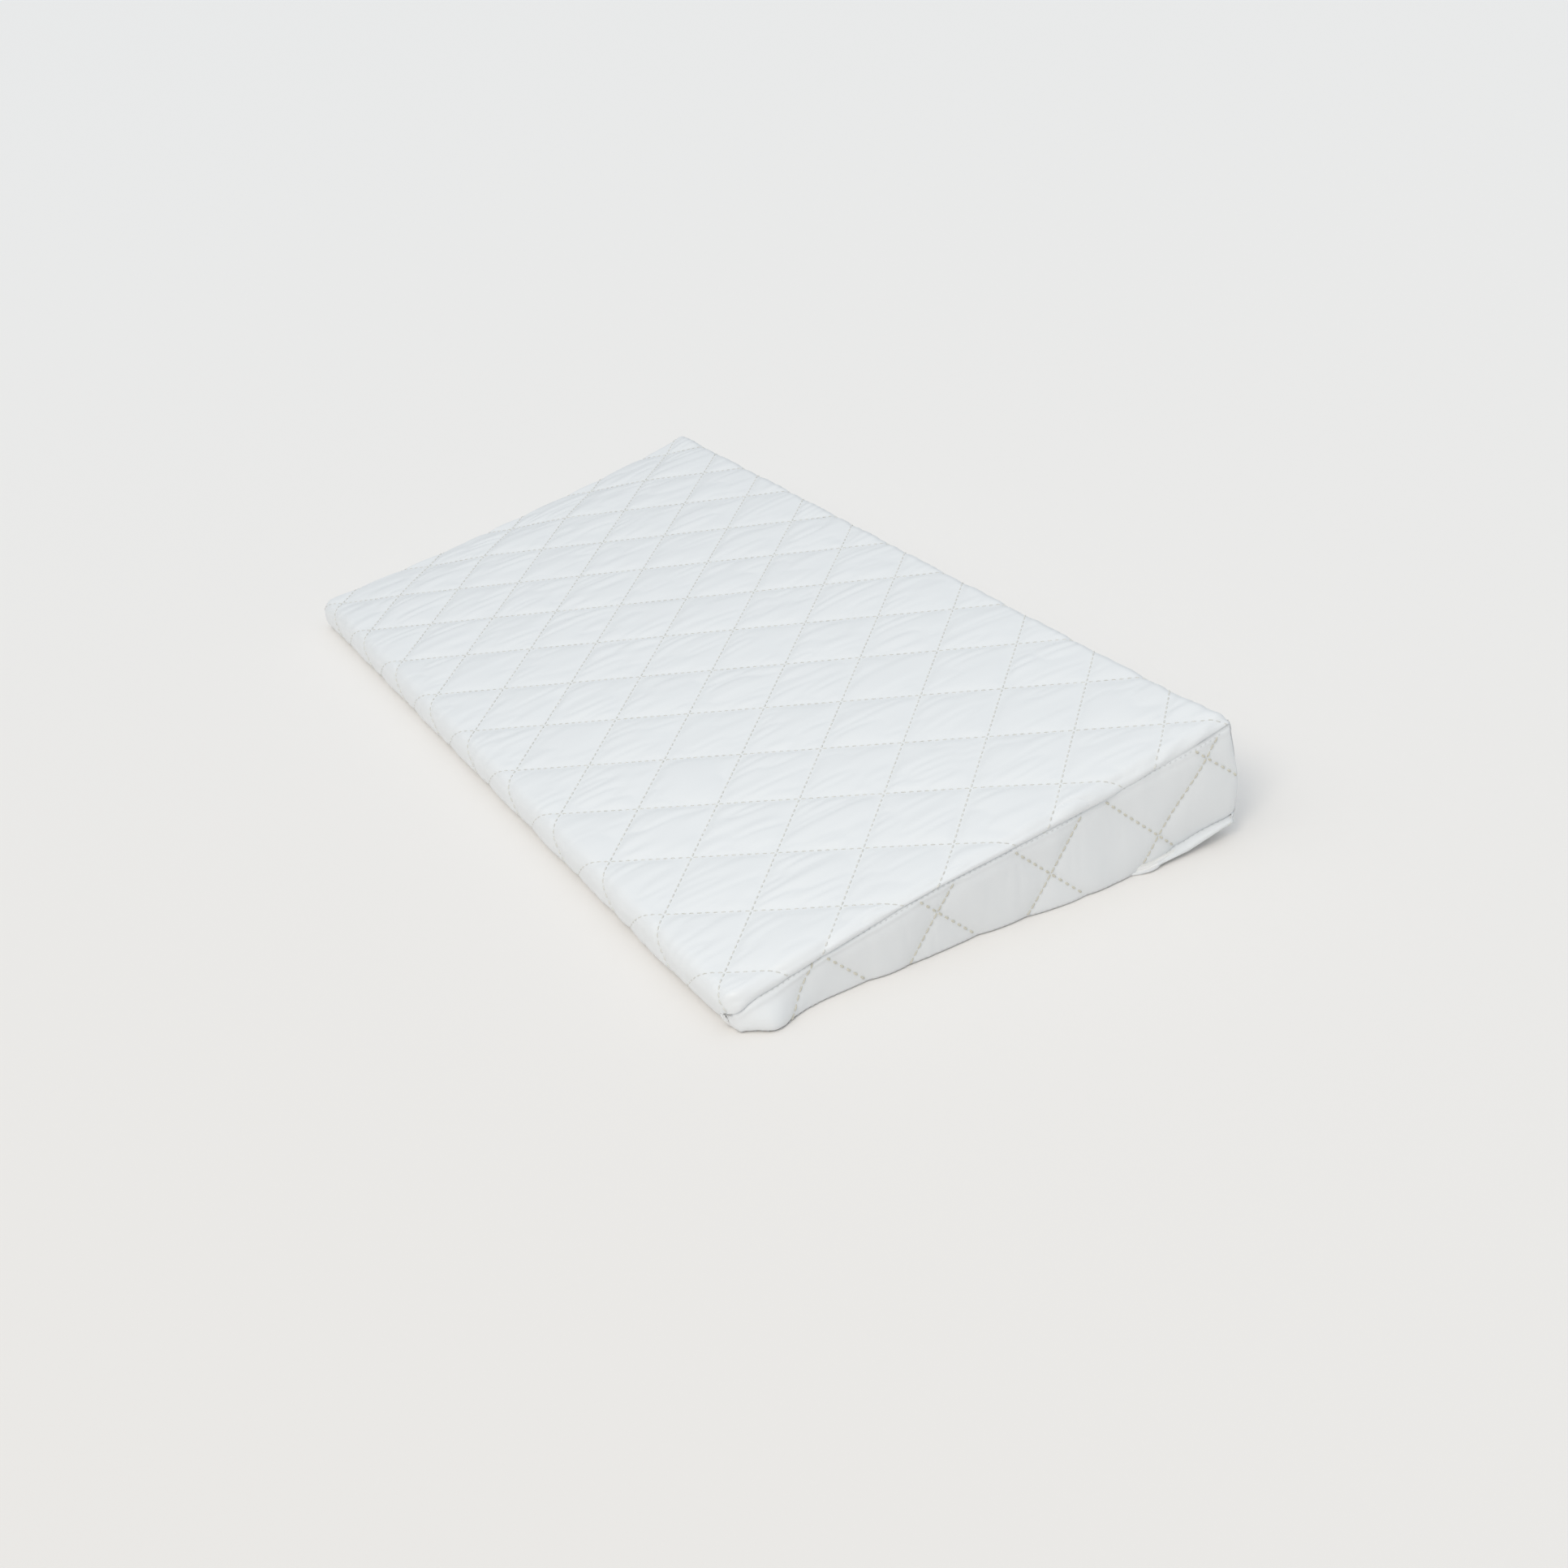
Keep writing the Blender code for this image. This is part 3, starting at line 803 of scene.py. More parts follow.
def face_fabric_finish():
    """Brushed white microfibre: a fine weave, puckers at every stitch, a faint cool tint, and painted shade
    that darkens and warms the cloth along the stitch valleys.
    """
    white = tuple(colours().face)
    sheen = {"Sheen_Weight": 0.22, "Sheen_Roughness": 0.45}
    nodes = Nodes("face_fabric", white, 0.62, Specular_IOR_Level=0.32, **sheen)
    split = nodes.add("ShaderNodeSeparateXYZ")
    nodes.join(nodes.coordinates(1.0, "quilt"), split.inputs[0])
    spacing = line_spacing()
    stitches = quilt().stitches_per_side
    puckers, nearness, wide = [], [], []
    for across, along in ((0, 1), (1, 0)):
        offset = nodes.math("SUBTRACT", split.outputs[across], nodes.math("ROUND", split.outputs[across]))
        distance = nodes.math("MULTIPLY", nodes.math("ABSOLUTE", offset), spacing / MILLIMETRE)
        near = nodes.math("POWER", 2.718, nodes.math("MULTIPLY", distance, -0.62))
        wave = nodes.math("COSINE", nodes.math("MULTIPLY", split.outputs[along], 2 * math.pi * stitches))
        puckers.append(nodes.math("MULTIPLY", near, wave))
        nearness.append(nodes.math("POWER", 2.718, nodes.math("MULTIPLY", distance, -1.5)))
        wide.append(nodes.math("POWER", 2.718, nodes.math("MULTIPLY", distance, -0.45)))
    pucker = nodes.math("ADD", *puckers)
    # Painted shade: the mask is strongest on the stitch lines, where the cloth dips into its valleys.
    valley_shade = nodes.math("MAXIMUM", *nearness)
    weave_scale = spacing / (0.42 * MILLIMETRE) * math.pi * 2
    threads = [
        nodes.math("SINE", nodes.math("MULTIPLY", split.outputs[axis], weave_scale)) for axis in (0, 1)
    ]
    weave = nodes.math("MULTIPLY", *threads)
    place = nodes.coordinates(1.0)
    slub = nodes.noise(place, 900.0, 2.0)
    cloud = nodes.noise(place, 38.0, 4.0)
    turned = nodes.add("ShaderNodeMapping")
    turned.inputs["Rotation"].default_value = (0.0, 0.0, math.radians(48))
    nodes.join(nodes.coordinates(1.0, "quilt"), turned.inputs["Vector"])
    stretched = nodes.add("ShaderNodeMapping")
    stretched.inputs["Scale"].default_value = (spacing / 0.024, spacing / 0.0042, 1.0)
    nodes.join(turned.outputs[0], stretched.inputs["Vector"])
    streaks = nodes.noise(stretched.outputs[0], 1.0, 1.5, 0.45)
    streaks = nodes.math("ABSOLUTE", nodes.math("SUBTRACT", streaks, 0.5))
    streaks = nodes.math("POWER", nodes.math("MULTIPLY", streaks, 3.0), 0.65)
    clear = nodes.math("SUBTRACT", 1.0, nodes.math("MAXIMUM", *wide))
    patchy = nodes.span(nodes.noise(place, 26.0, 2.0), 0.32, 0.55, 0.45, 1.0)
    streaks = nodes.math("MULTIPLY", streaks, nodes.math("MULTIPLY", clear, patchy))
    lint = nodes.noise(place, 260.0, 5.0, 0.65)
    tone = nodes.tint(
        nodes.span(cloud, 0.3, 0.7, 0.0, 1.0),
        [(0.0, shade(white, 0.975)), (0.5, white), (1.0, shade(white, 1.012))],
    )
    dusty = nodes.blend(nodes.span(lint, 0.45, 0.75, 0.0, 0.12), tone, shade(white, 0.93))
    # Painted shade: a darker, warmer white laid over the cloth along the stitch valleys.
    valley_shade_colour = (white[0] * 0.95, white[1] * 0.915, white[2] * 0.86)
    nodes.colour(nodes.blend(nodes.math("MULTIPLY", valley_shade, 0.25), dusty, valley_shade_colour))
    nodes.rough(nodes.span(slub, 0.2, 0.8, 0.54, 0.70))
    nodes.bumps(
        (streaks, 0.9, 0.0010),
        (pucker, 0.8, 0.00034),
        (weave, 0.25, 0.00003),
        (slub, 0.20, 0.00006),
        (lint, 0.18, 0.00012),
    )
    return nodes.material


def fibre_finish(name, colour, scale, depth, sheen=0.1):
    """A matt fibrous finish, for wadding, backing and knitted sleeve."""
    nodes = Nodes(name, colour, 0.9, Sheen_Weight=sheen)
    place = nodes.coordinates((1.0, 1.0, 1.0))
    fibres = nodes.noise(place, scale, 6.0, 0.7)
    tufts = nodes.noise(place, scale / 9, 3.0)
    tone = nodes.tint(fibres, [(0.25, shade(colour, 0.88)), (0.7, shade(colour, 1.04))])
    nodes.colour(nodes.blend(nodes.span(tufts, 0.35, 0.7, 0.0, 0.35), tone, shade(colour, 0.94)))
    nodes.rough(nodes.span(fibres, 0.2, 0.8, 0.82, 0.97))
    nodes.bumps((fibres, 0.5, depth), (tufts, 0.3, depth * 3))
    return nodes.material


def knit_finish():
    """Fine stockinette, in ribs along the mattress, with painted shade in the grooves between the ribs."""
    colour = tuple(colours().sleeve)
    nodes = Nodes("sleeve", colour, 0.88, Sheen_Weight=0.15)
    ribs = nodes.add("ShaderNodeTexWave", bands_direction="Y")
    ribs.inputs["Scale"].default_value = 260.0
    ribs.inputs["Distortion"].default_value = 1.2
    place = nodes.coordinates(1.0)
    nodes.join(place, ribs.inputs["Vector"])
    loops = nodes.noise(place, 700.0, 2.0)
    # Painted shade: the ribs' colour follows their bump, darker in the grooves between them.
    nodes.colour(nodes.tint(ribs.outputs["Fac"], [(0.0, shade(colour, 0.86)), (1.0, shade(colour, 1.03))]))
    nodes.rough(nodes.span(loops, 0.2, 0.8, 0.8, 0.95))
    nodes.bumps((ribs.outputs["Fac"], 0.5, 0.0003), (loops, 0.3, 0.0001))
    return nodes.material


def foam_finish(name, colour, cell, depth):
    """Cut foam: open cells of about one size, with a soft uneven tone, and painted shade that darkens each
    cell's hollow.
    """
    nodes = Nodes(name, colour, 0.92, Specular_IOR_Level=0.2)
    place = nodes.coordinates(1.0)
    cells = nodes.add("ShaderNodeTexVoronoi", feature="DISTANCE_TO_EDGE")
    cells.inputs["Scale"].default_value = 1 / cell
    nodes.join(place, cells.inputs["Vector"])
    walls = cells.outputs["Distance"]
    cloud = nodes.noise(place, 24.0, 4.0)
    # Painted shade: each cell is lighter at its walls and darker in its hollow.
    pore_shade = nodes.tint(walls, [(0.0, shade(colour, 1.05)), (0.35, shade(colour, 0.84))])
    nodes.colour(nodes.blend(nodes.span(cloud, 0.3, 0.7, 0.0, 0.4), pore_shade, shade(colour, 0.97)))
    nodes.rough(nodes.span(cloud, 0.2, 0.8, 0.86, 0.97))
    nodes.bumps((walls, 0.8, depth))
    return nodes.material


def thread_finish(name, colour):
    """Spun polyester thread with a faint twist."""
    nodes = Nodes(name, colour, 0.55, Sheen_Weight=0.2, Specular_IOR_Level=0.4)
    place = nodes.coordinates(1.0)
    plies = nodes.noise(place, 1600.0, 2.0)
    dye = nodes.noise(place, 110.0, 3.0)
    tone = nodes.tint(plies, [(0.25, shade(colour, 0.86)), (0.75, shade(colour, 1.12))])
    nodes.colour(nodes.blend(nodes.span(dye, 0.35, 0.65, 0.0, 0.5), tone, shade(colour, 1.1)))
    nodes.rough(nodes.span(plies, 0.2, 0.8, 0.45, 0.65))
    nodes.bumps((plies, 0.4, 0.0001))
    return nodes.material


def tape_finish():
    """The zip's woven tape, in a fine herringbone, with painted shade in the grooves of its twill."""
    colour = tuple(colours().zip_tape)
    nodes = Nodes("zip_tape", colour, 0.8, Sheen_Weight=0.15)
    place = nodes.coordinates(1.0)
    twill = nodes.add("ShaderNodeTexWave", bands_direction="DIAGONAL")
    twill.inputs["Scale"].default_value = 420.0
    twill.inputs["Distortion"].default_value = 0.4
    nodes.join(place, twill.inputs["Vector"])
    grain = nodes.noise(place, 900.0, 3.0)
    # Painted shade: the twill's colour follows its bump, darker in its grooves.
    nodes.colour(nodes.tint(twill.outputs["Fac"], [(0.0, shade(colour, 0.88)), (1.0, shade(colour, 1.04))]))
    nodes.rough(nodes.span(grain, 0.2, 0.8, 0.72, 0.88))
    nodes.bumps((twill.outputs["Fac"], 0.5, 0.0002), (grain, 0.2, 0.0001))
    return nodes.material


def nylon_finish():
    """The coil's drawn nylon, slightly glossy."""
    colour = tuple(colours().zip_coil)
    nodes = Nodes("zip_coil", colour, 0.34, Specular_IOR_Level=0.5)
    place = nodes.coordinates(1.0)
    cloud = nodes.noise(place, 240.0, 3.0)
    nodes.colour(nodes.tint(cloud, [(0.3, shade(colour, 0.94)), (0.7, shade(colour, 1.03))]))
    nodes.rough(nodes.span(cloud, 0.2, 0.8, 0.28, 0.42))
    nodes.bumps((cloud, 0.15, 0.0001))
    return nodes.material


def lacquer_finish():
    """White lacquer over die-cast zinc, a little worn."""
    colour = tuple(colours().zip_metal)
    nodes = Nodes("zip_metal", colour, 0.28, Metallic=0.0, Coat_Weight=0.5, Coat_Roughness=0.15)
    place = nodes.coordinates(1.0)
    cast = nodes.noise(place, 420.0, 4.0)
    rubbed = nodes.noise(place, 95.0, 5.0, 0.7)
    worn = [(place, shade(colour, factor)) for place, factor in ((0.30, 0.97), (0.66, 1.02), (0.80, 0.80))]
    nodes.colour(nodes.tint(rubbed, worn))
    nodes.rough(nodes.span(cast, 0.2, 0.8, 0.22, 0.38))
    nodes.bumps((cast, 0.12, 0.00008))
    return nodes.material


MAKERS = {
    "face_fabric": face_fabric_finish,
    "wadding": lambda: fibre_finish("wadding", tuple(colours().wadding), 900.0, 0.0005, 0.2),
    "backing": lambda: fibre_finish("backing", tuple(colours().backing), 1500.0, 0.00015),
    "sleeve": knit_finish,
    "memory_foam": lambda: foam_finish("memory_foam", tuple(colours().memory_foam), 0.0007, 0.0003),
    "base_foam": lambda: foam_finish("base_foam", tuple(colours().base_foam), 0.0013, 0.0005),
    "stitch_thread": lambda: thread_finish("stitch_thread", tuple(colours().thread)),
    # The sides' thread is the quilting thread with painted shade.
    "shaded_side_thread": lambda: thread_finish("shaded_side_thread", tuple(colours().shaded_side_thread)),
    "seam_thread": lambda: thread_finish("seam_thread", tuple(colours().seam_thread)),
    "zip_tape": tape_finish,
    "zip_coil": nylon_finish,
    "zip_metal": lacquer_finish,
}


def finish(name):
    """A finish's material, made the first time that it is asked for."""
    return bpy.data.materials.get(name) or MAKERS[name]()


# ---------------------------------------------------------------- panels


def end_lengths(step, tuck):
    """Positions along a long panel, measured on the flat cloth, closer together where its ends turn over."""
    wrap = sizes().end_wrap
    flat_half = HALF_LENGTH - wrap
    total = flat_half + wrap * QUARTER_TURN + tuck
    turned = np.linspace(flat_half, total, int((total - flat_half) / step * 1.7) + 6)[1:]
    middle = np.linspace(-flat_half, flat_half, int(2 * flat_half / step))
    return np.concatenate((-turned[::-1], middle, turned))


def long_panel(path, flat_start, ends, step, tuck):
    """A panel along the mattress: its path is swept along X, and its ends turn over towards the side panels.

    ends gives for each side the depth, the angle and the bulge of the turned-over cloth along the path,
    and the direction in which the cloth is turned in.
    """
    wrap = sizes().end_wrap
    lengths = end_lengths(step, tuck)
    normals = path_normals(path)
    over = np.clip(np.abs(lengths) - (HALF_LENGTH - wrap), 0, None)
    turned = np.minimum(over / (wrap * QUARTER_TURN), 1)[:, None]
    tucked = np.clip(over - wrap * QUARTER_TURN, 0, None)[:, None]
    points = np.empty((len(lengths), len(path), 3))
    lean = np.empty_like(points)
    for side in (-1, 1):
        rows = np.flatnonzero(lengths > 0 if side > 0 else lengths <= 0)
        depth, last_angle, bulge = (np.broadcast_to(values, len(path))[None] for values in ends[side][:3])
        inwards = ends[side][3] if len(ends[side]) > 3 else -normals
        angle = turned[rows] * last_angle
        drop = depth / (1 - np.cos(last_angle))
        reach = wrap + bulge
        inward = tucked[rows]
        flat_part = np.minimum(np.abs(lengths[rows]), HALF_LENGTH - wrap)[:, None]
        x = flat_part + reach * np.sin(angle) - inward * 0.95
        inset = drop * (1 - np.cos(angle)) + inward * 0.30
        points[rows, :, 0] = side * x
        points[rows, :, 1] = path[None, :, 0] + inwards[None, :, 0] * inset
        points[rows, :, 2] = path[None, :, 1] + inwards[None, :, 1] * inset
        sideways, outwards = np.sin(angle) * (drop + 0.0004), np.cos(angle) * np.maximum(reach, 0.0005)
        size = np.sqrt(sideways**2 + outwards**2)
        lean[rows, :, 0] = side * sideways / size
        lean[rows, :, 1] = normals[None, :, 0] * outwards / size
        lean[rows, :, 2] = normals[None, :, 1] * outwards / size
    flat = np.broadcast_to(lengths[:, None], points.shape[:2])
    up = np.broadcast_to((path_lengths(path) + flat_start)[None, :], points.shape[:2])
    edge = np.minimum(
        HALF_LENGTH - wrap + wrap * QUARTER_TURN - np.abs(flat), np.minimum(up - up[:, :1], up[:, -1:] - up)
    )
    return points, lean, flat, up, edge


def seam_relief(edge, width=0.0022, depth=0.0015):
    """How a panel dips as it comes to a seam, with a slight roll beside it."""
    near = np.clip(edge / width, 0, 1)
    return -depth * (1 - near) ** 2 + 0.0005 * hump(edge, width * 1.3, width * 0.7)


def seam_puckers(flat, up, edge, seed, height=0.0006):
    """Short gathers that run away from a seam, in patches along it."""
    reach = np.exp(-np.clip(edge, 0, None) / 0.008) * smooth_ramp(edge, 0.0, 0.0030)
    gathers = soft_noise(flat + up * 0.35, up * 0.25, 0.0040, seed)
    patch = 0.30 + 0.70 * np.clip(soft_noise(flat, up, 0.045, seed + 1) * 1.5, 0, 1)
    return height * reach * gathers * patch


def side_seam_drop(y):
    """How far below the lying surface a side's seam runs; the sewing wanders a little."""
    run = y - FRONT_Y
    wander = 0.0018 * np.cos(2 * math.pi * (run - 0.238) / 0.245)
    return 0.0064 + wander * smooth_ramp(run, 0.008, 0.030) + 0.0031 * hump(run, 0.0, 0.012)


def base_roll(y):
    """Height of the base panel's roll, which shows beside the tall corner of the right side."""
    run = np.clip(y - FRONT_Y, 0, None)
    return 0.0002 + ROLL_HEIGHT * np.clip((run - ROLL_START) / ROLL_LENGTH, 0, 1) ** 1.15


def right_seam_height(y):
    """Height of the seam between the top and the right side."""
    run = np.clip(y - FRONT_Y, 0, None)
    return sizes().thin_height + run * math.tan(slope_angle()) - side_seam_drop(y)


def side_rounding(run):
    """Radius with which the right side turns under, along its run from the thin edge."""
    return 0.0012 + 0.0042 * (1 - smooth_ramp(run, 0.002, 0.028))


def build_top_panel():
    """The lying surface, which also wraps over the thin edge and ends at a seam under it."""
    size = sizes()
    corners = [
        (FRONT_Y + size.front_seam, 0.0),
        (FRONT_Y, 0.0),
        (FRONT_Y, size.thin_height),
        (BACK_Y, size.tall_height),
        (BACK_Y, BAND_HIGH.z),
    ]
    path = rounded_path(corners, (size.front_radius, size.front_radius, size.back_radius), size.grid)
    angle = slope_angle()
    first = np.argmax((path_normals(path)[:, 1] > math.cos(angle) - 1e-6) & (path[:, 1] > 0.01))
    flat_start = (path[first, 0] - FRONT_Y) / math.cos(angle) - path_lengths(path)[first]
    y, z = path[:, 0], path[:, 1]
    right_depth = np.maximum(z - right_seam_height(y), 0.0002)
    notched = (1 - smooth_ramp(z, 0.0088, 0.0116)) * (y < 0)
    left_depth = np.where(z > 0.008, 0.0105, 0.0070)
    downwards = np.broadcast_to(np.array((0.0, -1.0)), path.shape)
    ends = {1: (right_depth, QUARTER_TURN, -0.0068 * notched, downwards), -1: (left_depth, QUARTER_TURN, 0.0)}
    points, lean, flat, up, edge = long_panel(path, flat_start, ends, size.grid, size.side_tuck)
    along = flat + HALF_LENGTH
    last = (BACK_Y - FRONT_Y) / math.cos(angle)
    calm = smooth_ramp(edge, 0.0, 0.007) * (0.35 + 0.65 * smooth_ramp(along, 0.0, 0.022))
    calm = calm * (0.28 + 0.72 * smooth_ramp(up, 0.0, 0.016))
    calm = calm * (0.30 + 0.70 * smooth_ramp(last - up, 0.0, 0.016))
    p, q = lattice(along, up)
    relief = puff_relief(p, q) * (0.25 + 0.75 * calm) + 0.0008 * (1 - calm)
    relief += wrinkle_relief(along, up, p, q) * (0.45 + 0.55 * calm)
    gathered = 0.0004 + 0.0030 * smooth_ramp(flat, 0.25, HALF_LENGTH) * smooth_ramp(up, 0.185, 0.225)
    relief += seam_relief(edge, 0.0020, 0.0010) + seam_puckers(flat, up, edge, 11, gathered)
    laminate("top", points, lean, relief, p, q)


def build_base_panel():
    """The underside, pressed flat where it rests, with a roll that shows beside the tall corner."""
    size = sizes()
    corners = [(BACK_Y, LOWER_BAND_LOW.z), (BACK_Y, 0.0), (FRONT_Y + size.front_seam, 0.0)]
    path = rounded_path(corners, (size.back_radius * 0.9,), size.grid * BASE_GRID)
    run = path[:, 0] - FRONT_Y
    rolled = smooth_ramp(run, 0.220, 0.238)
    angle = QUARTER_TURN + rolled * math.radians(38)
    bulge = 0.0046 * rolled - (side_rounding(run) + 0.0012) * (1 - rolled)
    depth = np.maximum(base_roll(path[:, 0]) - path[:, 1], 0.0002)
    upwards = np.broadcast_to(np.array((0.0, 1.0)), path.shape)
    ends = {1: (depth, angle, bulge, upwards), -1: (0.0030, QUARTER_TURN, 0.0)}
    points, lean, flat, up, edge = long_panel(path, 0.30, ends, size.grid * BASE_GRID, BASE_TUCK)
    p, q = lattice(flat + HALF_LENGTH, up)
    pressed = 0.45 * (quilt().puff - np.minimum(puff_relief(p, q), quilt().puff))
    relief = STITCH_SINK - pressed + 0.25 * wrinkle_relief(flat, up, p, q)
    relief += np.minimum(seam_relief(edge), 0) + seam_puckers(flat, up, edge, 41, 0.0004)
    laminate("base", points, lean, relief, p, q)


def build_back_bands():
    """The two bands of the back, folded back along the zip."""
    spans = (
        ("back_upper", BAND_HIGH.z, BAND_LOW.z, 0.34),
        ("back_lower", LOWER_BAND_HIGH.z, LOWER_BAND_LOW.z, 0.37),
    )
    for name, high, low, offset in spans:
        count = int((high - low) / (sizes().grid * 1.1))
        path = np.stack((np.full(count + 1, BACK_Y), np.linspace(high, low, count + 1)), axis=1)
        ends = {1: (0.0004, QUARTER_TURN, 0.0), -1: (0.0045, QUARTER_TURN, 0.0)}
        step, tuck = sizes().grid * BAND_GRID, sizes().side_tuck
        points, lean, flat, up, edge = long_panel(path, offset, ends, step, tuck)
        along = flat + HALF_LENGTH
        relief = 0.7 * quilt_relief(along, up) + np.minimum(seam_relief(edge), 0)
        relief = np.minimum(relief + seam_puckers(flat, up, edge, 23), 0.0026)
        laminate(name, points, lean, relief, *lattice(along, up))


def build_side_panels():
    """The panels that close the two ends."""
    build_side("right", 1, -0.0122, BACK_Y - FRONT_Y - 0.0002)
    build_side("left", -1, 0.0050, BACK_Y - FRONT_Y - 0.0040)


def build_side(name, side, first, last):
    """One side panel, from its first to its last run. The right one turns round onto the thin edge."""
    run = np.linspace(first, last, int((last - first) / sizes().grid) + 1)
    y = run + FRONT_Y
    if side > 0:
        low, high, rolled = base_roll(y), right_seam_height(y), smooth_ramp(run, 0.218, 0.234)
        low, high = low - 0.0009 * rolled, high + 0.0014 * smooth_ramp(run, 0.185, 0.235)
        round_under = side_rounding(run) * (1 - rolled)
    else:
        high = sizes().thin_height + run * math.tan(slope_angle()) - 0.0105
        low, rolled, round_under = np.full_like(y, 0.0030), np.ones_like(y), np.zeros_like(y)
    share = np.linspace(0, 1, 44)
    height = low[:, None] + (high - low)[:, None] * share[None, :]
    run, round_under = (np.broadcast_to(values[:, None], height.shape) for values in (run, round_under))
    low_edge = height - low[:, None] + (0.02 if side > 0 else 0.0)
    end_edge = np.minimum(run - first, last - run + 0.0014)
    edge = np.minimum(np.minimum(low_edge, high[:, None] - height), end_edge)
    around_corner = np.clip((FRONT_CORNER - run) / FRONT_CORNER / 2, 0, 1)
    turn = around_corner * math.pi / 2 if side > 0 else np.zeros_like(run)
    lean = np.stack((side * np.cos(turn), -np.sin(turn), np.zeros_like(turn)), axis=-1)
    past_corner = np.minimum(run, 0)
    points = np.stack((side * (HALF_LENGTH + past_corner), np.maximum(run, 0) + FRONT_Y, height), axis=-1)
    gap = np.clip(round_under - height, 0, round_under)
    points -= lean * (round_under - np.sqrt(round_under**2 - gap**2))[..., None]
    p = (run - height / STEEP_RISE - STEEP_START) / STEEP_SPACING
    q = (run + height - FALLING_START) / FALLING_SPACING
    relief = 0.9 * puff_relief(p, q) + 0.30 * wrinkle_relief(run, height, p, q) + 0.0006
    relief *= 0.40 + 0.60 * smooth_ramp(edge, 0.0, 0.008)
    relief += 0.0018 * soft_noise(run, height * 0.5, 0.030, 31) + seam_relief(edge, 0.0016, 0.0008)
    relief += seam_puckers(run, height, edge, 33, 0.0005)
    if side > 0:
        above = height - low[:, None]
        relief -= rolled[:, None] * 0.0016 * np.exp(-above / 0.0026)
        relief += 0.0005 * (1 - smooth_ramp(run, -0.0070, 0.0))
    laminate(name, points, lean, relief, p, q)


# ---------------------------------------------------------------- stitches


def stitch_mesh(length, radius, segments=6, rings=5):
    """The points and quads of one stitch along X: a thread that dives into the cloth at both ends."""
    points = []
    for ring in range(rings):
        t = ring / (rings - 1) * 2 - 1
        swell = math.sqrt(1 - 0.80 * t**4)
        sink = -radius * 0.75 * t * t
        for k in range(segments):
            angle = 2 * math.pi * k / segments
            side, up = radius * swell * math.cos(angle), radius * swell * math.sin(angle)
            points.append((t * length / 2, side, sink + up))
    quads = []
    for ring in range(rings - 1):
        for k in range(segments):
            a, b = ring * segments + k, ring * segments + (k + 1) % segments
            quads.append((a, b, b + segments, a + segments))
    last = (rings - 1) * segments
    for cap in (range(segments)[::-1], range(last, last + segments)):
        quads += [(cap[0], cap[1], cap[2], cap[3]), (cap[0], cap[3], cap[4], cap[5])]
    return np.array(points), np.array(quads)


def find_in_grid(p, q, target_p, target_q):
    """Fractional rows and columns where a grid's lattice coordinates take the target values."""
    rows = np.full(len(target_p), p.shape[0] / 2)
    columns = np.full(len(target_p), p.shape[1] / 2)
    gradients = [np.gradient(values, axis=axis) for values in (p, q) for axis in (0, 1)]
    for _ in range(14):
        at_rows = np.clip(rows, 0, p.shape[0] - 1)
        at_columns = np.clip(columns, 0, p.shape[1] - 1)
        off_p = target_p - sample_grid(p, at_rows, at_columns)
        off_q = target_q - sample_grid(q, at_rows, at_columns)
        p_row, p_column, q_row, q_column = (sample_grid(g, at_rows, at_columns) for g in gradients)
        span = p_row * q_column - p_column * q_row
        span = np.where(np.abs(span) < 1e-12, 1e-12, span)
        rows = at_rows + (off_p * q_column - off_q * p_column) / span
        columns = at_columns + (off_q * p_row - off_p * q_row) / span
    return rows, columns


def lay_stitches(centres, tangents, normals, length, thickness):
    """The points and quads of a row of stitches, one at each centre."""
    stitch, quads = stitch_mesh(length, thickness / 2)
    tangents = tangents / np.linalg.norm(tangents, axis=1)[:, None]
    normals = normals - tangents * np.einsum("ij,ij->i", normals, tangents)[:, None]
    normals = normals / np.linalg.norm(normals, axis=1)[:, None]
    sideways = np.cross(normals, tangents)
    placed = (
        centres[:, None]
        + tangents[:, None] * stitch[None, :, 0:1]
        + sideways[:, None] * stitch[None, :, 1:2]
        + normals[:, None] * (stitch[None, :, 2:3] + thickness * 0.30)
    )
    numbers = np.arange(len(placed))[:, None, None] * len(stitch) + quads[None]
    return placed.reshape(-1, 3), numbers.reshape(-1, 4)


def thread_piece(name, rows, material):
    """One object of all of a panel's stitches."""
    points, quads, count = [], [], 0
    for row_points, row_quads in rows:
        points.append(row_points)
        quads.append(row_quads + count)
        count += len(row_points)
    piece = mesh_object(name, np.concatenate(points), np.concatenate(quads))
    attach(piece, "mattress", "stitch_thread", material=material)


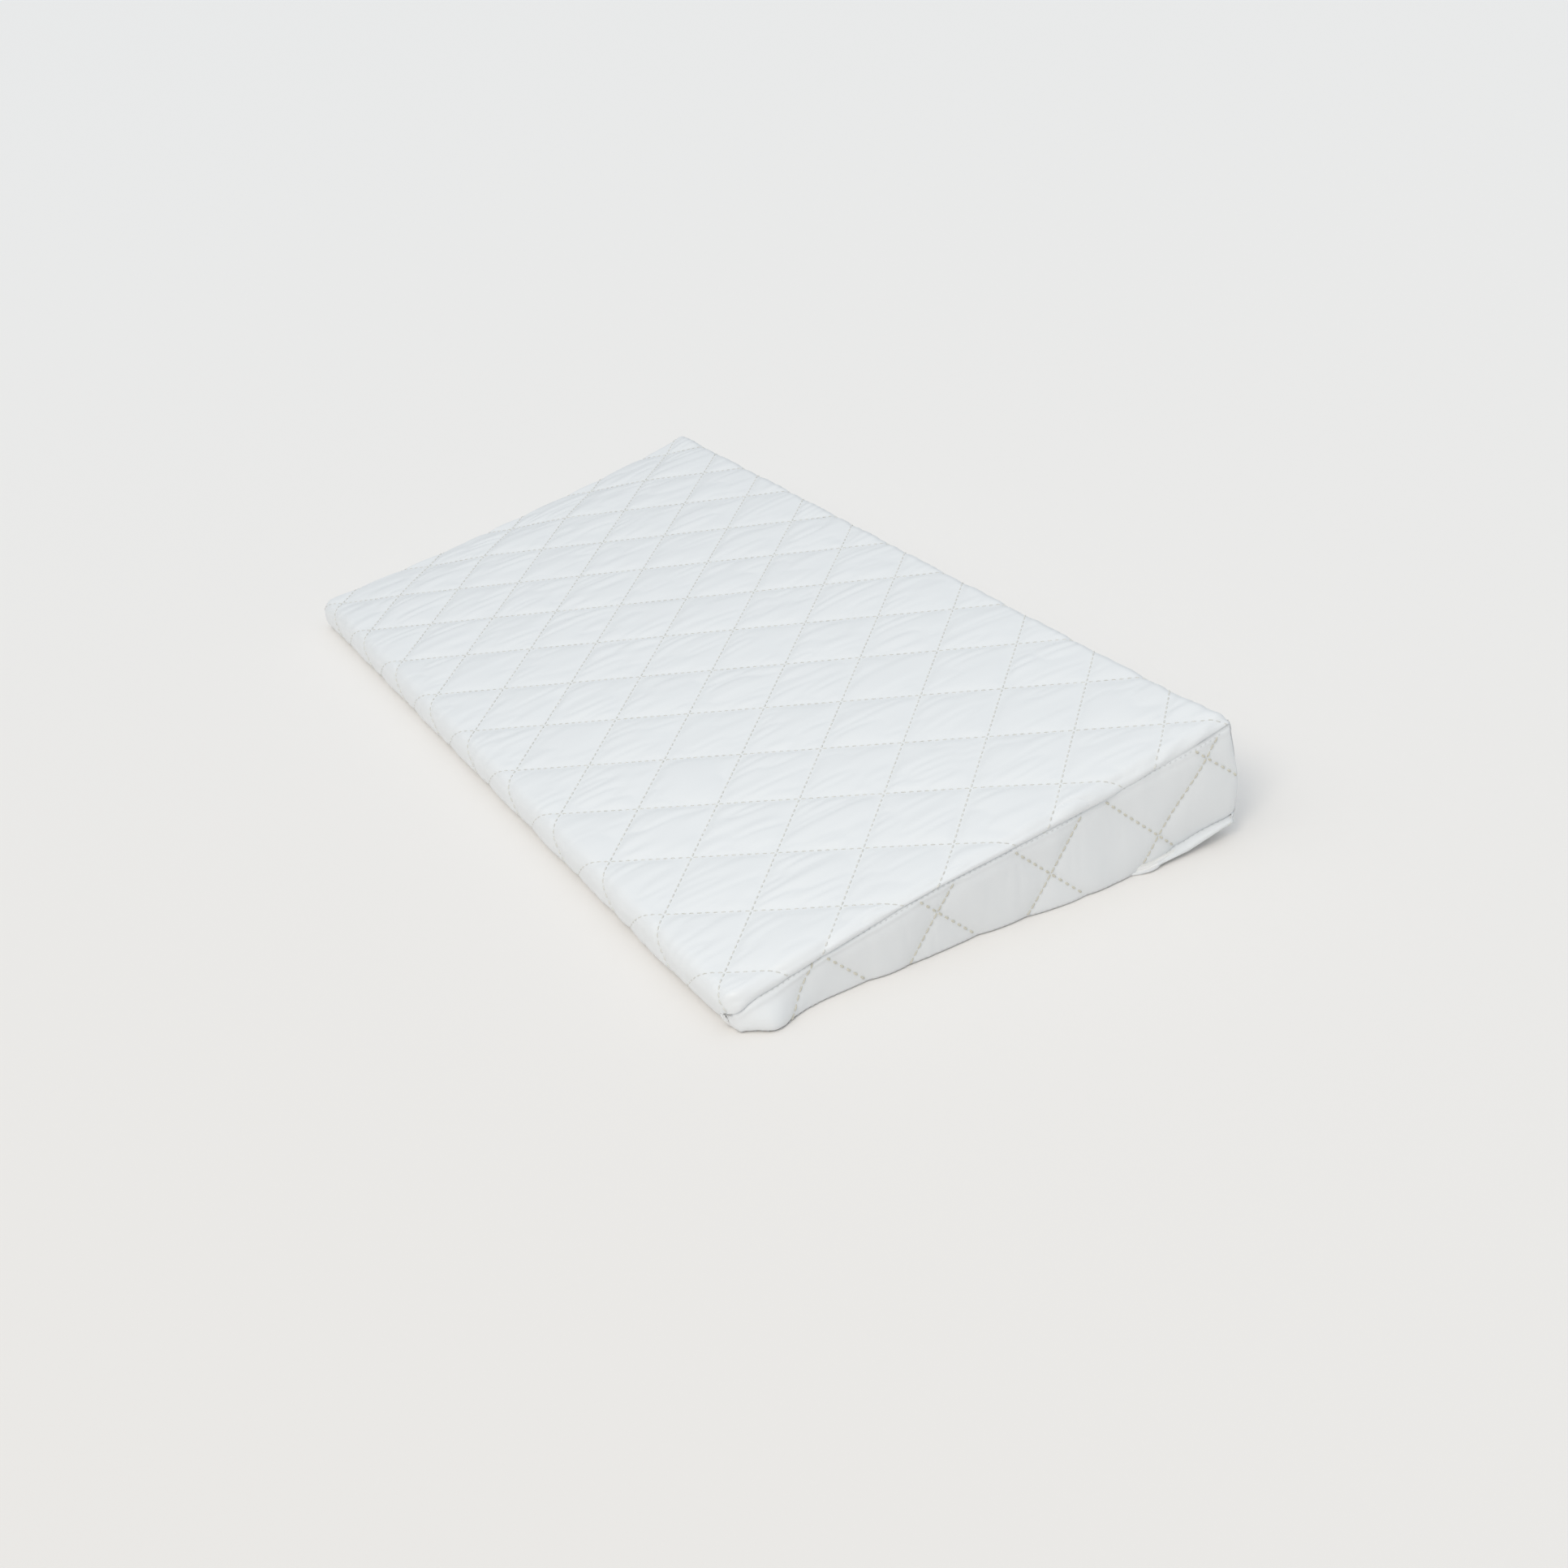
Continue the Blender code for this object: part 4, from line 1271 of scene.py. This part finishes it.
def sew(name, thickness=1.0, lengths=(0.0024, 0.0027), weights=(0.95, 1.4), bare=2, material="stitch_thread"):
    """The stitches of a panel, laid along its two sets of quilting lines; its first rows can stay bare."""
    surface, normals, p, q = PANELS[name]
    per_side = quilt().stitches_per_side
    rows = []
    for across, along, length, weight in ((p, q, lengths[0], weights[0]), (q, p, lengths[1], weights[1])):
        lines = np.arange(math.ceil(across.min()), math.floor(across.max()) + 1)
        first, last = math.floor(along.min()), math.ceil(along.max())
        steps = (np.arange(first * per_side, last * per_side) + 0.5) / per_side
        line, step = (values.ravel() for values in np.meshgrid(lines, steps, indexing="ij"))
        order = (lambda a, b: (a, b)) if across is p else (lambda a, b: (b, a))
        at, beside = find_in_grid(p, q, *order(line, step))
        inside = (at > bare) & (at < p.shape[0] - 3) & (beside > 2) & (beside < p.shape[1] - 3)
        line, step, at, beside = line[inside], step[inside], at[inside], beside[inside]
        if not len(at):
            continue
        centre = sample_grid(surface, at, beside)
        ahead = find_in_grid(p, q, *order(line, step + 0.25 / per_side))
        tangent = sample_grid(surface, *ahead) - centre
        normal = sample_grid(normals, at, beside)
        rows.append(lay_stitches(centre, tangent, normal, length, quilt().thread * thickness * weight))
    thread_piece(f"{name}_quilting_thread", rows, material)


def stitch_line(line, normals, pitch, length, thickness):
    """A row of stitches along a line of points."""
    distance = path_lengths(line)
    at = np.arange(pitch, distance[-1] - pitch, pitch)
    centre = np.stack([np.interp(at, distance, line[:, k]) for k in range(3)], axis=1)
    ahead = np.stack([np.interp(at + pitch * 0.2, distance, line[:, k]) for k in range(3)], axis=1)
    normal = np.stack([np.interp(at, distance, normals[:, k]) for k in range(3)], axis=1)
    return lay_stitches(centre, ahead - centre, normal, length, thickness)


def build_zip_topstitching():
    """Two plain rows of stitches that hold the bands' folded edges to the zip's tape."""
    rows = []
    for name, fold in (("back_upper", BAND_LOW.z), ("back_lower", LOWER_BAND_HIGH.z)):
        surface, normals, _, _ = PANELS[name]
        heights = np.abs(surface[len(surface) // 2, :, 2] - fold)
        column = int(np.argmin(np.abs(heights - ZIP_ROW)))
        wanted = np.abs(surface[:, column, 0]) < HALF_LENGTH - 0.007
        line, away = surface[wanted, column], normals[wanted, column]
        rows.append(stitch_line(line, away, ZIP_PITCH, ZIP_STITCH, quilt().thread * 0.8))
    thread_piece("zip_topstitching", rows, "seam_thread")


def build_seam_thread():
    """The thread that just shows in the seams between the side panels and their neighbours."""
    rows = []
    for name in ("right", "left"):
        surface, normals, _, _ = PANELS[name]
        for column in (1, -2):
            inner = slice(3, -3)
            line = surface[inner, column] + normals[inner, column] * 0.0002
            away = normals[inner, column]
            rows.append(stitch_line(line, away, SEAM_PITCH, SEAM_STITCH, quilt().thread * 0.55))
    thread_piece("seam_thread", rows, "seam_thread")


# ---------------------------------------------------------------- foam and sleeve


def select_only(piece):
    """Makes a piece the only selected one, and the active one."""
    bpy.ops.object.select_all(action="DESELECT")
    bpy.context.view_layer.objects.active = piece
    piece.select_set(True)


def tidy_mesh(piece, merge):
    """Merges doubles, closes holes and points the faces outwards."""
    select_only(piece)
    bpy.ops.object.mode_set(mode="EDIT")
    bpy.ops.mesh.select_all(action="SELECT")
    bpy.ops.mesh.remove_doubles(threshold=merge)
    bpy.ops.mesh.fill_holes(sides=0)
    bpy.ops.mesh.normals_make_consistent(inside=False)
    bpy.ops.object.mode_set(mode="OBJECT")


def node_section(node, step):
    """The convex section of a CAD prism, as points no further apart than a step."""
    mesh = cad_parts[node].data
    places = np.array([vertex.co for vertex in mesh.vertices])
    end = places[np.abs(places[:, 0] - places[:, 0].max()) < 1e-5][:, 1:]
    end = np.unique(np.round(end, 6), axis=0)
    middle = (end.min(axis=0) + end.max(axis=0)) / 2
    order = np.argsort(-np.arctan2(end[:, 1] - middle[1], end[:, 0] - middle[0]))
    section = end[order]
    points = []
    for a, b in zip(section, np.roll(section, -1, axis=0)):
        count = max(1, int(np.linalg.norm(b - a) / step))
        points.extend(a + (b - a) * k / count for k in range(count))
    return np.array(points)


def swept(x, stations):
    """A grid of points from the sections at each place along the mattress."""
    return np.concatenate((np.broadcast_to(x[:, None, None], (*stations.shape[:2], 1)), stations), axis=-1)


def ring_faces(rows, columns, closed=False):
    """The quads of a tube of rows of points; a closed tube's last row joins its first."""
    index = np.arange(rows * columns).reshape(rows, columns)
    if closed:
        index = np.concatenate((index, index[:1]))
    around = np.roll(index, -1, axis=1)
    return np.stack((index[:-1], index[1:], around[1:], around[:-1]), axis=-1).reshape(-1, 4)


def foam_block(node, slot, rough):
    """A cut block of foam: its section swept along the mattress, with soft arrises and uneven faces."""
    low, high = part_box(node)
    section = node_section(node, SECTION_STEP)
    middle = section.mean(axis=0)
    arms = section - middle
    reach = np.linalg.norm(arms, axis=1)
    turns = np.radians(np.linspace(0, 90, 6))
    count = int((high.x - low.x) / SECTION_STEP / 1.5)
    rounded, ends = FOAM_ROUNDING * (1 - np.sin(turns)), FOAM_ROUNDING * (1 - np.cos(turns))
    inset = np.concatenate((rounded, np.zeros(count), rounded[::-1]))
    between = np.linspace(low.x + FOAM_ROUNDING, high.x - FOAM_ROUNDING, count)
    x = np.concatenate((low.x + ends, between, high.x - ends[::-1]))
    stations = middle + arms[None] * (1 - inset[:, None] / reach[None] * 0.8)[..., None]
    cap = middle + arms * (CAP_RINGS * (1 - 0.8 * FOAM_ROUNDING / reach.max()))[:, None, None]
    stations = np.concatenate((cap[::-1], stations, cap))
    x = np.concatenate((np.full(len(cap), low.x), x, np.full(len(cap), high.x)))
    grid = swept(x, stations)
    uneven = rough * soft_noise(grid[..., 0] + grid[..., 2], grid[..., 1] - grid[..., 2] * 0.7, 0.030, 51)
    grid = settle(grid)
    grid[..., 2] -= np.clip(uneven + rough, 0, None) * (grid[..., 2] > 0.02)
    piece = mesh_object(f"{node}_block", grid.reshape(-1, 3), ring_faces(*grid.shape[:2]))
    tidy_mesh(piece, 0.0002)
    attach(piece, "mattress", slot, node)


def build_sleeve():
    """The knitted inner sleeve: a soft tube round the foam, open at its left end."""
    low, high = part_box("inner_sleeve")
    section = node_section("inner_sleeve", SECTION_STEP)
    middle = section.mean(axis=0)
    arms = section - middle
    count = int((high.x - low.x) / SECTION_STEP)
    x = np.linspace(low.x, high.x, count)
    sizes_out = np.concatenate((np.ones(count), CAP_RINGS))
    outer_x = np.concatenate((x, np.full(len(CAP_RINGS), high.x)))
    inner_x = np.minimum(outer_x[::-1], high.x - SLEEVE_WALL)
    shrink = 1 - SLEEVE_WALL / np.linalg.norm(arms, axis=1)
    outer = middle + arms * sizes_out[:, None, None]
    inner = middle + arms * (sizes_out[::-1, None] * shrink)[..., None]
    grid = settle(swept(np.concatenate((outer_x, inner_x)), np.concatenate((outer, inner))))
    piece = mesh_object("knitted_sleeve", grid.reshape(-1, 3), ring_faces(*grid.shape[:2], closed=True))
    tidy_mesh(piece, 0.00005)
    attach(piece, "mattress", "sleeve", "inner_sleeve")


# ---------------------------------------------------------------- zip


def refined_copy(node, name, body, slot, width, segments=2):
    """A copy of a CAD piece with its edges rounded, which stands for it."""
    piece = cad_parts[node].copy()
    piece.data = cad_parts[node].data.copy()
    piece.name = piece.data.name = name
    for key in list(piece.keys()):
        del piece[key]
    piece.parent = None
    piece.matrix_world = Matrix.Identity(4)
    bpy.context.scene.collection.objects.link(piece)
    select_only(piece)
    bpy.ops.object.mode_set(mode="EDIT")
    bpy.ops.mesh.select_all(action="SELECT")
    bpy.ops.mesh.remove_doubles(threshold=0.00001)
    bpy.ops.mesh.tris_convert_to_quads(face_threshold=math.radians(1), shape_threshold=math.radians(180))
    bpy.ops.mesh.dissolve_limited(angle_limit=math.radians(1))
    bpy.ops.object.mode_set(mode="OBJECT")
    bevel = piece.modifiers.new("bevel", "BEVEL")
    bevel.width = width
    bevel.segments = segments
    bevel.limit_method = "ANGLE"
    bevel.angle_limit = math.radians(40)
    bevel.harden_normals = False
    bpy.ops.object.modifier_apply(modifier="bevel")
    bpy.ops.object.shade_smooth_by_angle(angle=math.radians(45))
    attach(piece, body, slot, node)
    return piece


def build_coil(side, name, node):
    """One side of the zip's nylon coil: a row of flattened loops round the tape's edge."""
    low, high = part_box(node)
    middle_z = (LOWER_BAND_HIGH.z + BAND_LOW.z) / 2
    reach = 0.0006
    inner, outer = middle_z - side * reach, middle_z + side * 0.0026
    count = int((high.x - low.x - 0.0006) / COIL_PITCH)
    bpy.ops.object.select_all(action="DESELECT")
    bpy.ops.mesh.primitive_torus_add(
        major_segments=10,
        minor_segments=5,
        major_radius=COIL_RADIUS,
        minor_radius=COIL_WIRE,
        location=(0, 0, 0),
    )
    piece = bpy.context.active_object
    piece.name = piece.data.name = name
    first_x = low.x + 0.0004 + (COIL_PITCH / 2 if side > 0 else 0.0)
    turn = Matrix.Rotation(math.radians(90), 4, "Y") @ Matrix.Rotation(math.radians(12), 4, "X")
    stretch = Matrix.Diagonal((1.0, 0.48, (abs(outer - inner) / 2 - COIL_WIRE) / COIL_RADIUS, 1.0))
    place = Matrix.Translation((first_x, (low.y + high.y) / 2 + 0.0002, (inner + outer) / 2))
    piece.data.transform(place @ stretch @ turn)
    array = piece.modifiers.new("array", "ARRAY")
    array.count = count
    array.use_relative_offset = False
    array.use_constant_offset = True
    array.constant_offset_displace = (COIL_PITCH, 0, 0)
    array.merge_threshold = 0.00001
    bpy.ops.object.modifier_apply(modifier="array")
    bpy.ops.object.shade_smooth()
    attach(piece, "mattress", "zip_coil", node)


def build_zip():
    """The zip's tapes, coils and stops."""
    for place in ("upper", "lower"):
        refined_copy(f"zip_tape_{place}", f"tape_{place}", "mattress", "zip_tape", 0.00012, 1)
        refined_copy(f"zip_top_stop_{place}", f"top_stop_{place}", "mattress", "zip_metal", 0.0003, 3)
    refined_copy("zip_bottom_stop", "bottom_stop", "mattress", "zip_metal", 0.0004, 3)
    build_coil(1, "coil_upper", "zip_coil_upper")
    build_coil(-1, "coil_lower", "zip_coil_lower")


def build_slider():
    """The slider and its pull tab."""
    refined_copy("zip_slider", "slider", "slider", "zip_metal", 0.00022, 3)
    refined_copy("zip_pull_tab", "pull_tab", "pull", "zip_metal", 0.00028, 3)


# ---------------------------------------------------------------- stage


def build_stage():
    """A pale seamless floor, a soft sky, a soft key lamp and a distant fill, and the camera."""
    lamp_place, lamp_power = (1.1, -1.2, 1.5), 39.0
    ambient = 0.80  # how bright the sky alone makes the floor, which is painted to look even under both
    bpy.ops.object.select_all(action="DESELECT")
    bpy.ops.mesh.primitive_plane_add(size=30.0, location=(0, 0, -0.0002))
    floor = bpy.context.active_object
    floor.name = "studio_floor"
    nodes = Nodes("studio_floor", tuple(colours().floor), 0.9, Specular_IOR_Level=0.1)
    reach = nodes.add("ShaderNodeVectorMath", operation="DISTANCE")
    nodes.join(nodes.coordinates(1.0), reach.inputs[0])
    reach.inputs[1].default_value = lamp_place
    fall = lamp_power * lamp_place[2] / (4 * math.pi**2)
    lit = nodes.math("MULTIPLY", nodes.math("POWER", reach.outputs["Value"], -3.0), fall)
    painted = nodes.add("ShaderNodeVectorMath", operation="SCALE")
    painted.inputs[0].default_value = tuple(colours().floor)
    nodes.join(nodes.math("DIVIDE", 1.0, nodes.math("ADD", lit, ambient)), painted.inputs["Scale"])
    nodes.colour(painted.outputs[0])
    floor.data.materials.append(nodes.material)

    world = bpy.data.worlds.new("studio")
    bpy.context.scene.world = world
    world.use_nodes = True
    background = world.node_tree.nodes["Background"]
    background.inputs["Color"].default_value = (0.905, 0.955, 1.0, 1)
    links, make = world.node_tree.links, world.node_tree.nodes.new
    direction, split = make("ShaderNodeTexCoord"), make("ShaderNodeSeparateXYZ")
    glow = make("ShaderNodeMapRange")
    glow.inputs["To Min"].default_value, glow.inputs["To Max"].default_value = 0.19, 1.01
    links.new(direction.outputs["Generated"], split.inputs[0])
    links.new(split.outputs["Z"], glow.inputs["Value"])
    links.new(glow.outputs[0], background.inputs["Strength"])

    fill = bpy.data.lights.new("fill", "SUN")
    fill.energy = 0.35
    fill.angle = math.radians(50)
    fill.color = (1.0, 0.92, 0.82)
    sun = bpy.data.objects.new("fill", fill)
    sun.rotation_euler = Vector((-0.20, 0.55, -0.80)).to_track_quat("-Z", "Y").to_euler()
    bpy.context.scene.collection.objects.link(sun)
    lamp = bpy.data.lights.new("key", "POINT")
    lamp.energy = lamp_power
    lamp.shadow_soft_size = 0.35
    lamp.color = (1.0, 0.92, 0.82)
    key = bpy.data.objects.new("key", lamp)
    key.location = lamp_place
    bpy.context.scene.collection.objects.link(key)

    forward = Vector((-0.78575, 0.39155, -0.47884)).normalized()
    right = Vector((0.49081, 0.86580, -0.09744))
    right = (right - forward * right.dot(forward)).normalized()
    up = right.cross(forward)
    camera = bpy.data.objects.new("camera", bpy.data.cameras.new("camera"))
    camera.data.sensor_width = 36.0
    camera.data.lens = 44.36
    camera.data.clip_start = 0.01
    place = Vector((0.95242, -0.43007, 0.51484))
    camera.matrix_world = Matrix.Translation(place) @ Matrix((right, up, -forward)).transposed().to_4x4()
    bpy.context.scene.collection.objects.link(camera)
    bpy.context.scene.camera = camera
    bpy.context.scene.view_settings.view_transform = "Standard"


# ---------------------------------------------------------------- operators


class MATTRESS_OT_stage(bpy.types.Operator):
    """Adds the floor, the lights and the camera"""

    bl_idname = "mattress.stage"
    bl_label = "Studio"

    def execute(self, context):
        build_stage()
        return {"FINISHED"}


class MATTRESS_OT_quilting_patch(bpy.types.Operator):
    """Puffs up a patch of quilted cloth, which every panel's relief is read from"""

    bl_idname = "mattress.quilting_patch"
    bl_label = "Quilting patch"

    def execute(self, context):
        simulate_quilting()
        return {"FINISHED"}


class MATTRESS_OT_top_panel(bpy.types.Operator):
    """Makes the quilted top panel, which wraps over the thin edge"""

    bl_idname = "mattress.top_panel"
    bl_label = "Top panel"

    def execute(self, context):
        build_top_panel()
        return {"FINISHED"}


class MATTRESS_OT_base_panel(bpy.types.Operator):
    """Makes the quilted base panel"""

    bl_idname = "mattress.base_panel"
    bl_label = "Base panel"

    def execute(self, context):
        build_base_panel()
        return {"FINISHED"}


class MATTRESS_OT_side_panels(bpy.types.Operator):
    """Makes the two quilted side panels"""

    bl_idname = "mattress.side_panels"
    bl_label = "Side panels"

    def execute(self, context):
        build_side_panels()
        return {"FINISHED"}


class MATTRESS_OT_back_bands(bpy.types.Operator):
    """Makes the two bands of the back, above and below the zip"""

    bl_idname = "mattress.back_bands"
    bl_label = "Back bands"

    def execute(self, context):
        build_back_bands()
        return {"FINISHED"}


class MATTRESS_OT_quilting_thread(bpy.types.Operator):
    """Sews the quilting lines of every panel"""

    bl_idname = "mattress.quilting_thread"
    bl_label = "Quilting thread"

    def execute(self, context):
        for name in ("top", "back_upper", "back_lower"):
            sew(name)
        sew("base", 0.5)
        for name, bare in (("right", 17), ("left", 2)):
            # The sides' stitches use the quilting thread's copy with painted shade.
            sew(name, 1.35, (0.0034, 0.0027), (1.05, 1.5), bare, "shaded_side_thread")
        return {"FINISHED"}


class MATTRESS_OT_seam_thread(bpy.types.Operator):
    """Sews the side seams and the rows beside the zip"""

    bl_idname = "mattress.seam_thread"
    bl_label = "Seams"

    def execute(self, context):
        build_seam_thread()
        build_zip_topstitching()
        return {"FINISHED"}


class MATTRESS_OT_foam(bpy.types.Operator):
    """Makes the firm foam wedge and the memory foam layer on it"""

    bl_idname = "mattress.foam"
    bl_label = "Foam"

    def execute(self, context):
        foam_block("base_foam_wedge", "base_foam", 0.0003)
        foam_block("memory_foam_layer", "memory_foam", 0.0002)
        return {"FINISHED"}


class MATTRESS_OT_sleeve(bpy.types.Operator):
    """Makes the knitted sleeve round the foam"""

    bl_idname = "mattress.sleeve"
    bl_label = "Inner sleeve"

    def execute(self, context):
        build_sleeve()
        return {"FINISHED"}


class MATTRESS_OT_zip_chain(bpy.types.Operator):
    """Makes the zip's tapes, coils and stops"""

    bl_idname = "mattress.zip_chain"
    bl_label = "Zip chain"

    def execute(self, context):
        build_zip()
        return {"FINISHED"}


class MATTRESS_OT_zip_slider(bpy.types.Operator):
    """Makes the slider and its pull tab"""

    bl_idname = "mattress.zip_slider"
    bl_label = "Zip slider"

    def execute(self, context):
        build_slider()
        return {"FINISHED"}


class MATTRESS_PT_pieces(bpy.types.Panel):
    """Lists the pieces in the order they are made"""

    bl_label = "Quilted wedge mattress"
    bl_space_type = "VIEW_3D"
    bl_region_type = "UI"
    bl_category = "Mattress"

    def draw(self, context):
        for operator in OPERATORS:
            self.layout.operator(operator.bl_idname)
        for group in (sizes(), quilt(), colours()):
            for name in group.bl_rna.properties.keys():
                if name not in ("rna_type", "name"):
                    self.layout.prop(group, name)


OPERATORS = (
    MATTRESS_OT_stage,
    MATTRESS_OT_quilting_patch,
    MATTRESS_OT_top_panel,
    MATTRESS_OT_base_panel,
    MATTRESS_OT_side_panels,
    MATTRESS_OT_back_bands,
    MATTRESS_OT_quilting_thread,
    MATTRESS_OT_seam_thread,
    MATTRESS_OT_foam,
    MATTRESS_OT_sleeve,
    MATTRESS_OT_zip_chain,
    MATTRESS_OT_zip_slider,
)
CLASSES = (MattressSizes, QuiltSettings, CoverColours, *OPERATORS, MATTRESS_PT_pieces)


def register():
    """Registers the settings, the operators and the panel."""
    for each in CLASSES:
        bpy.utils.register_class(each)
    bpy.types.Scene.mattress_sizes = PointerProperty(type=MattressSizes)
    bpy.types.Scene.mattress_quilt = PointerProperty(type=QuiltSettings)
    bpy.types.Scene.mattress_colours = PointerProperty(type=CoverColours)


def unregister():
    """Takes them all away again."""
    del bpy.types.Scene.mattress_colours
    del bpy.types.Scene.mattress_quilt
    del bpy.types.Scene.mattress_sizes
    for each in reversed(CLASSES):
        bpy.utils.unregister_class(each)


def main():
    """Builds the whole mattress."""
    register()
    bpy.ops.mattress.stage()
    bpy.ops.mattress.quilting_patch()
    bpy.ops.mattress.top_panel()
    bpy.ops.mattress.base_panel()
    bpy.ops.mattress.side_panels()
    bpy.ops.mattress.back_bands()
    bpy.ops.mattress.quilting_thread()
    bpy.ops.mattress.seam_thread()
    bpy.ops.mattress.foam()
    bpy.ops.mattress.sleeve()
    bpy.ops.mattress.zip_chain()
    bpy.ops.mattress.zip_slider()


if __name__ == "__main__":
    main()
